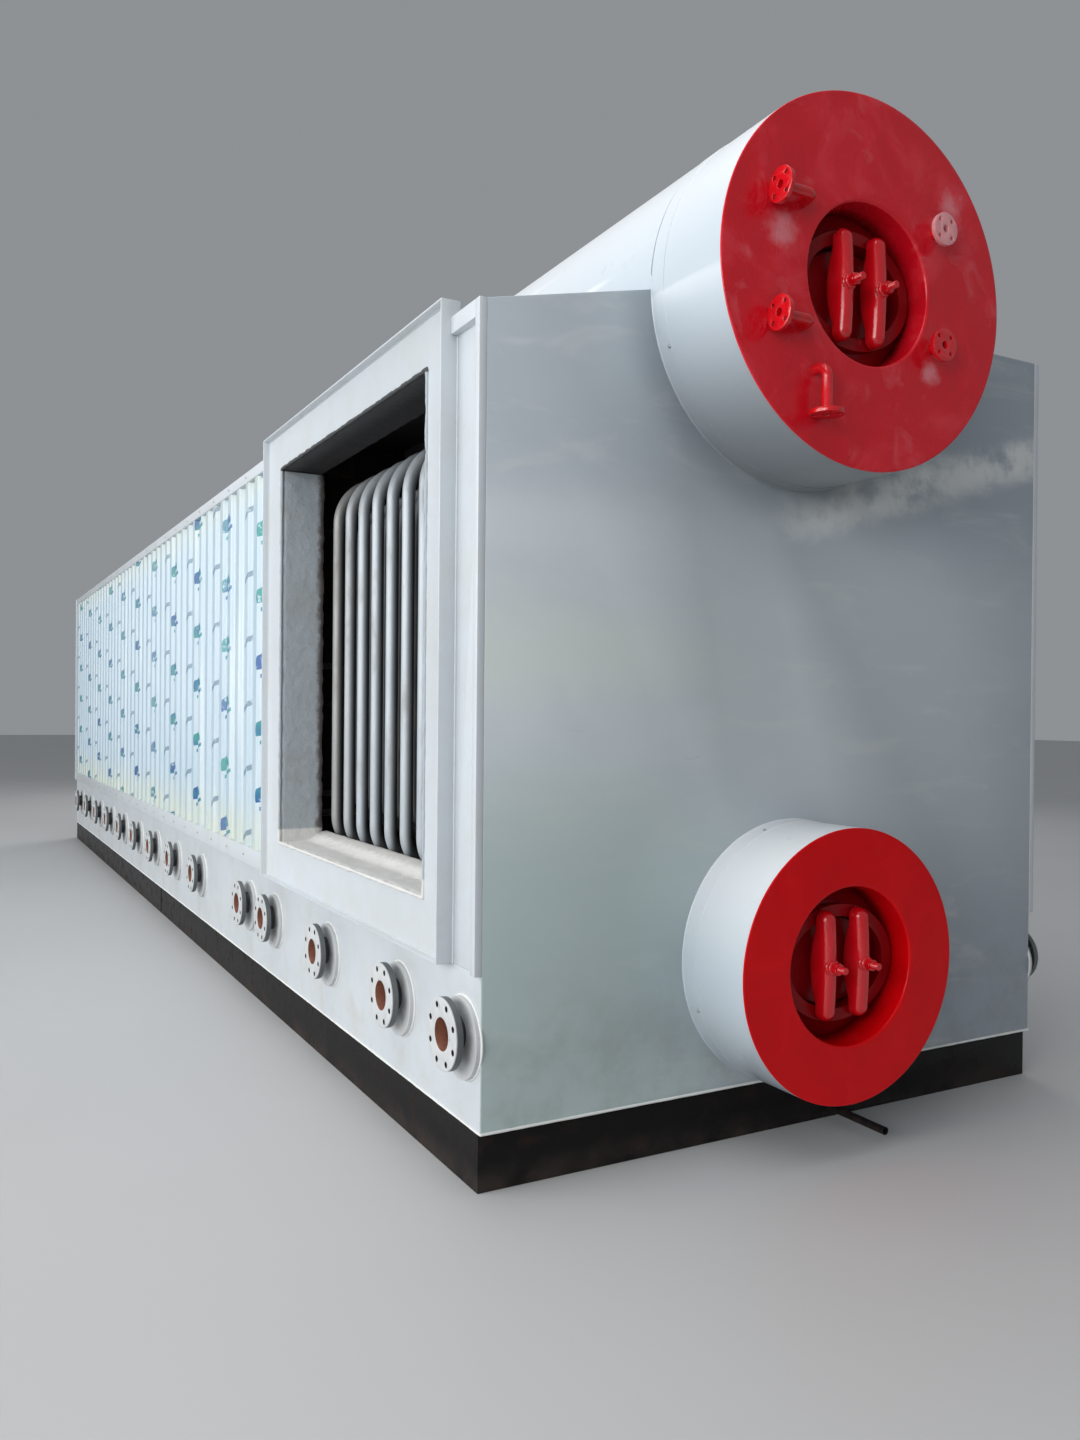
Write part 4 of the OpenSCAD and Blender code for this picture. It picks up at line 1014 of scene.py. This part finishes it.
def mark_holes(mesh):
    """Points in the nozzles' bores and bolt holes carry a value for their colour: rust in the
    bores, painted shade in the bolt holes.
    """
    bore = mesh.attributes.new("bore", "FLOAT", "POINT")
    bolt_hole = mesh.attributes.new("bolt_hole", "FLOAT", "POINT")
    for i, vertex in enumerate(mesh.vertices):
        y = min(NOZZLE_Y, key=lambda v: abs(v - vertex.co.y))
        away = math.hypot(vertex.co.y - y, vertex.co.z - NOZZLE_Z)
        bore.data[i].value = float(away < BORE_R + HOLE_EDGE)
        turn = math.degrees(math.atan2(vertex.co.z - NOZZLE_Z, vertex.co.y - y))
        turn = math.radians(turn % BOLT_TURN - BOLT_TURN / 2)
        aside = math.hypot(away * math.cos(turn) - BOLT_CIRCLE_R, away * math.sin(turn))
        bolt_hole.data[i].value = float(aside < BOLT_HOLE_R + HOLE_EDGE)


def arc(x, y, z, radius, first=0.0, last=360.0, across="y"):
    """Points on a circle that faces along y, or x; angles in degrees."""
    angles = [math.radians(first + (last - first) * i / 96) for i in range(97)]
    if across == "x":
        return [(x, y + radius * math.cos(a), z + radius * math.sin(a)) for a in angles]
    return [(x + radius * math.cos(a), y, z + radius * math.sin(a)) for a in angles]


def seams():
    """Weld beads and caulk lines of the casing."""
    foot, roots, corners = [], [], []
    for y in (NEAR_Y, REAR_Y):
        face = y + math.copysign(0.001, y)
        foot.append([(side * SIDE_X, face, BASE_TOP + 0.003) for side in (-1, 1)])
        roots.append(arc(DRUM_X, y, UPPER_Z, UPPER_R, 177, 366))
        roots.append(arc(DRUM_X, y, LOWER_Z, LOWER_R, -90, 270))
    for side in (-1, 1):
        for y in (NEAR_Y + 0.004, REAR_Y - 0.004):
            corners.append([(side * SIDE_X, y, BASE_TOP), (side * SIDE_X, y, BAND_TOP)])
        foot.append([(side * SIDE_X, y, BASE_TOP + 0.002) for y in (NEAR_Y, REAR_Y)])
    add_beads("foot_caulk", foot, 0.0045, "caulk", "side_paint", 0.7, 30)
    add_beads("jacket_root_beads", roots, 0.0050, "jacket_paint", "jacket_paint", 0.5, 40)
    add_beads("corner_beads", corners, 0.0022, "side_paint", "side_paint", 0.5, 50)


def lateral_beads():
    """Caulk round the nozzles' pads and beads along the outlet's frame."""
    pad_z, pad_r = NOZZLE_Z - 0.018, 0.127
    pads = [arc(side * (SIDE_X + 0.001), y, pad_z, pad_r, across="x")
            for side in (-1, 1) for y in NOZZLE_Y]

    def outline(near, far, low, high):
        x = FRAME_LOW.x + 0.029
        return [(x, near, low), (x, far, low), (x, far, high), (x, near, high), (x, near, low)]

    x = -SIDE_X - 0.001
    joints = [[(x, y, FRAME_LOW.z - 0.001) for y in (FRAME_LOW.y, FRAME_HIGH.y)]]
    for y, rise in ((FRAME_LOW.y - 0.001, 2.46), (FRAME_HIGH.y + 0.001, 2.40)):
        joints.append([(x, y, FRAME_LOW.z), (x, y, CASING_LOW.z + rise)])
    inset = 0.006
    joints.append(outline(FRAME_LOW.y + inset, FRAME_HIGH.y - inset,
                          FRAME_LOW.z + inset, FRAME_HIGH.z - inset))
    rim = [outline(OPENING_NEAR, OPENING_FAR, OPENING_LOW, OPENING_HIGH)]
    welds = [[(side * (SIDE_X + 0.0003), 0, z) for z in (0.004, BASE_TOP - 0.004)]
             for side in (-1, 1)]
    add_beads("pad_caulk", pads, 0.0042, "caulk", "side_paint", 0.8, 40, 0.012)
    add_beads("frame_beads", joints, 0.0040, "side_paint", "side_paint", 0.8, 40)
    add_beads("opening_rim", rim, 0.0070, "refractory", "refractory", 1.9, 24, 0.010)
    add_beads("rail_seams", welds, 0.0040, "base_paint", "base_paint", 0.7, 60, 0.008)


def castable_skin():
    """Hand-trowelled castable round the flue opening, with ragged edges."""
    bm = bmesh.new()
    front = FRAME_LOW.x + 0.033
    across, step = 30, 0.012
    bank_height, bank_run = 0.040, 0.100

    def strip(start, end, normal, seed, profile, back):
        start, end, normal = Vector(start), Vector(end), Vector(normal)
        steps = int((end - start).length / step)
        rings = []
        for i in range(steps + 1):
            at = start.lerp(end, i / steps)
            ragged = noise.noise(Vector((i * 0.23, seed, 0))) * 0.5
            ragged += noise.noise(Vector((i * 0.71, seed, 4))) * 0.35
            chip = noise.noise(Vector((i * 0.31, seed, 9)))
            first = front + 0.002 + 0.005 * chip
            last = back + 0.011 * ragged
            ring = []
            for k in range(across + 1):
                t = k / across
                x = first + (last - first) * t
                spot = Vector((x * 14, i * 0.168, seed * 3.1))
                rough = noise.noise(spot) * 0.6 + noise.noise(spot * 2.9) * 0.3
                rough += noise.noise(spot * 7.3) * 0.16
                tuck = min(1, t / 0.05, (1 - t) / 0.07)
                thick = (0.0045 + 0.0035 * rough) * tuck - 0.003 * (1 - tuck)
                ring.append(tuple(Vector((x, at.y, at.z)) + normal * (profile(x) + thick)))
            rings.append(ring)
        loft(bm, rings, closed=False, caps=False)

    def flat(x):
        return 0.0

    def bank(x):
        rise = min(1, max(0, (x + CHAMBER_X + 0.075) / bank_run))
        return bank_height * rise * rise * (3 - 2 * rise)

    near_low, near_high = (0, OPENING_NEAR, OPENING_LOW), (0, OPENING_NEAR, OPENING_HIGH)
    far_low, far_high = (0, OPENING_FAR, OPENING_LOW), (0, OPENING_FAR, OPENING_HIGH)
    back = 0.010 - CHAMBER_X
    strip(far_low, far_high, (0, -1, 0), 2.3, flat, back)
    strip(near_low, near_high, (0, 1, 0), 5.1, flat, back)
    strip(near_high, far_high, (0, 0, -1), 8.7, flat, back)
    strip(near_low, far_low, (0, 0, 1), 4.4, bank, back + 0.037)
    built("castable_skin", bm, "refractory", "refractory")


def chamber_members():
    """Small rusty angle bars and a bracket on the wall behind the tube bank."""
    bm = bmesh.new()
    wall, thick = NEAR_Y + 2.298, 0.005
    stations = (-1.04, -0.70, -0.35)
    for z, height, depth in ((1.02, 0.026, 0.045), (0.925, 0.030, 0.060), (1.635, 0.030, 0.030)):
        section = [(0, 0), (-depth, 0), (-depth, thick), (-thick, thick), (-thick, height),
                   (0, height)]
        loft(bm, [[(x, wall + d, z + h) for d, h in section] for x in stations])
    built("chamber_members", bm, "drum_steel", "drum_steel", smooth=False)


def jacket_laps():
    """Lap of the jacket sheets in front of the end plates, with its screws."""
    bm = bmesh.new()
    screws = []
    lap, proud, around = 0.066, 0.0018, 192
    for z, radius in ((UPPER_Z, UPPER_R), (LOWER_Z, LOWER_R)):
        for y, out in ((NEAR_Y, -1), (REAR_Y, 1)):
            outer, inner = radius + proud, radius - 0.002
            outline = [(0.0, outer), (lap - 0.001, outer), (lap, outer - 0.001), (lap, inner),
                       (0.0, inner)]
            rings = [[(DRUM_X + c, y + out * d, min(z + s, UPPER_HIGH.z))
                      for c, s, d in circle(r, d, around)] for d, r in outline]
            loft(bm, rings, caps=False)
            for k in range(4):
                a = math.radians(200 + 90 * k)
                normal = (math.cos(a), 0, math.sin(a))
                screws.append(((DRUM_X + outer * normal[0], y + out * (lap - 0.014),
                                z + outer * normal[2]), normal))
    bmesh.ops.remove_doubles(bm, verts=bm.verts, dist=0.00001)
    built("jacket_laps", bm, "jacket_paint", "jacket_paint", crease=40)
    add_fasteners("jacket_screws", screw_shape(0.0045, 0.005), screws, "zinc", "side_paint", 4)


def trim_screws():
    """Screws that hold the trims of the cladding, one on every second rib."""
    places = []
    for side in (-1, 1):
        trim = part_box("foot_trims")[1].x
        top = CASING_HIGH.z if side > 0 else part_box("cladding_left")[1].z + 0.054
        y = SHEET_LOW.y + 0.11
        while y < SHEET_HIGH.y:
            places.append(((side * trim, y, BAND_TOP + 0.045), (side, 0, 0)))
            places.append(((side * trim, y, top - 0.027), (side, 0, 0)))
            y += 2 * RIB_PITCH
    add_fasteners("trim_screws", screw_shape(0.0042, 0.005), places, "zinc", "side_paint", 9)


camera()
light()
floor()
drum_covers()
manhole_closures()
ribbed_sheets()
soft_edges()
seams()
lateral_beads()
castable_skin()
chamber_members()
jacket_laps()
trim_screws()
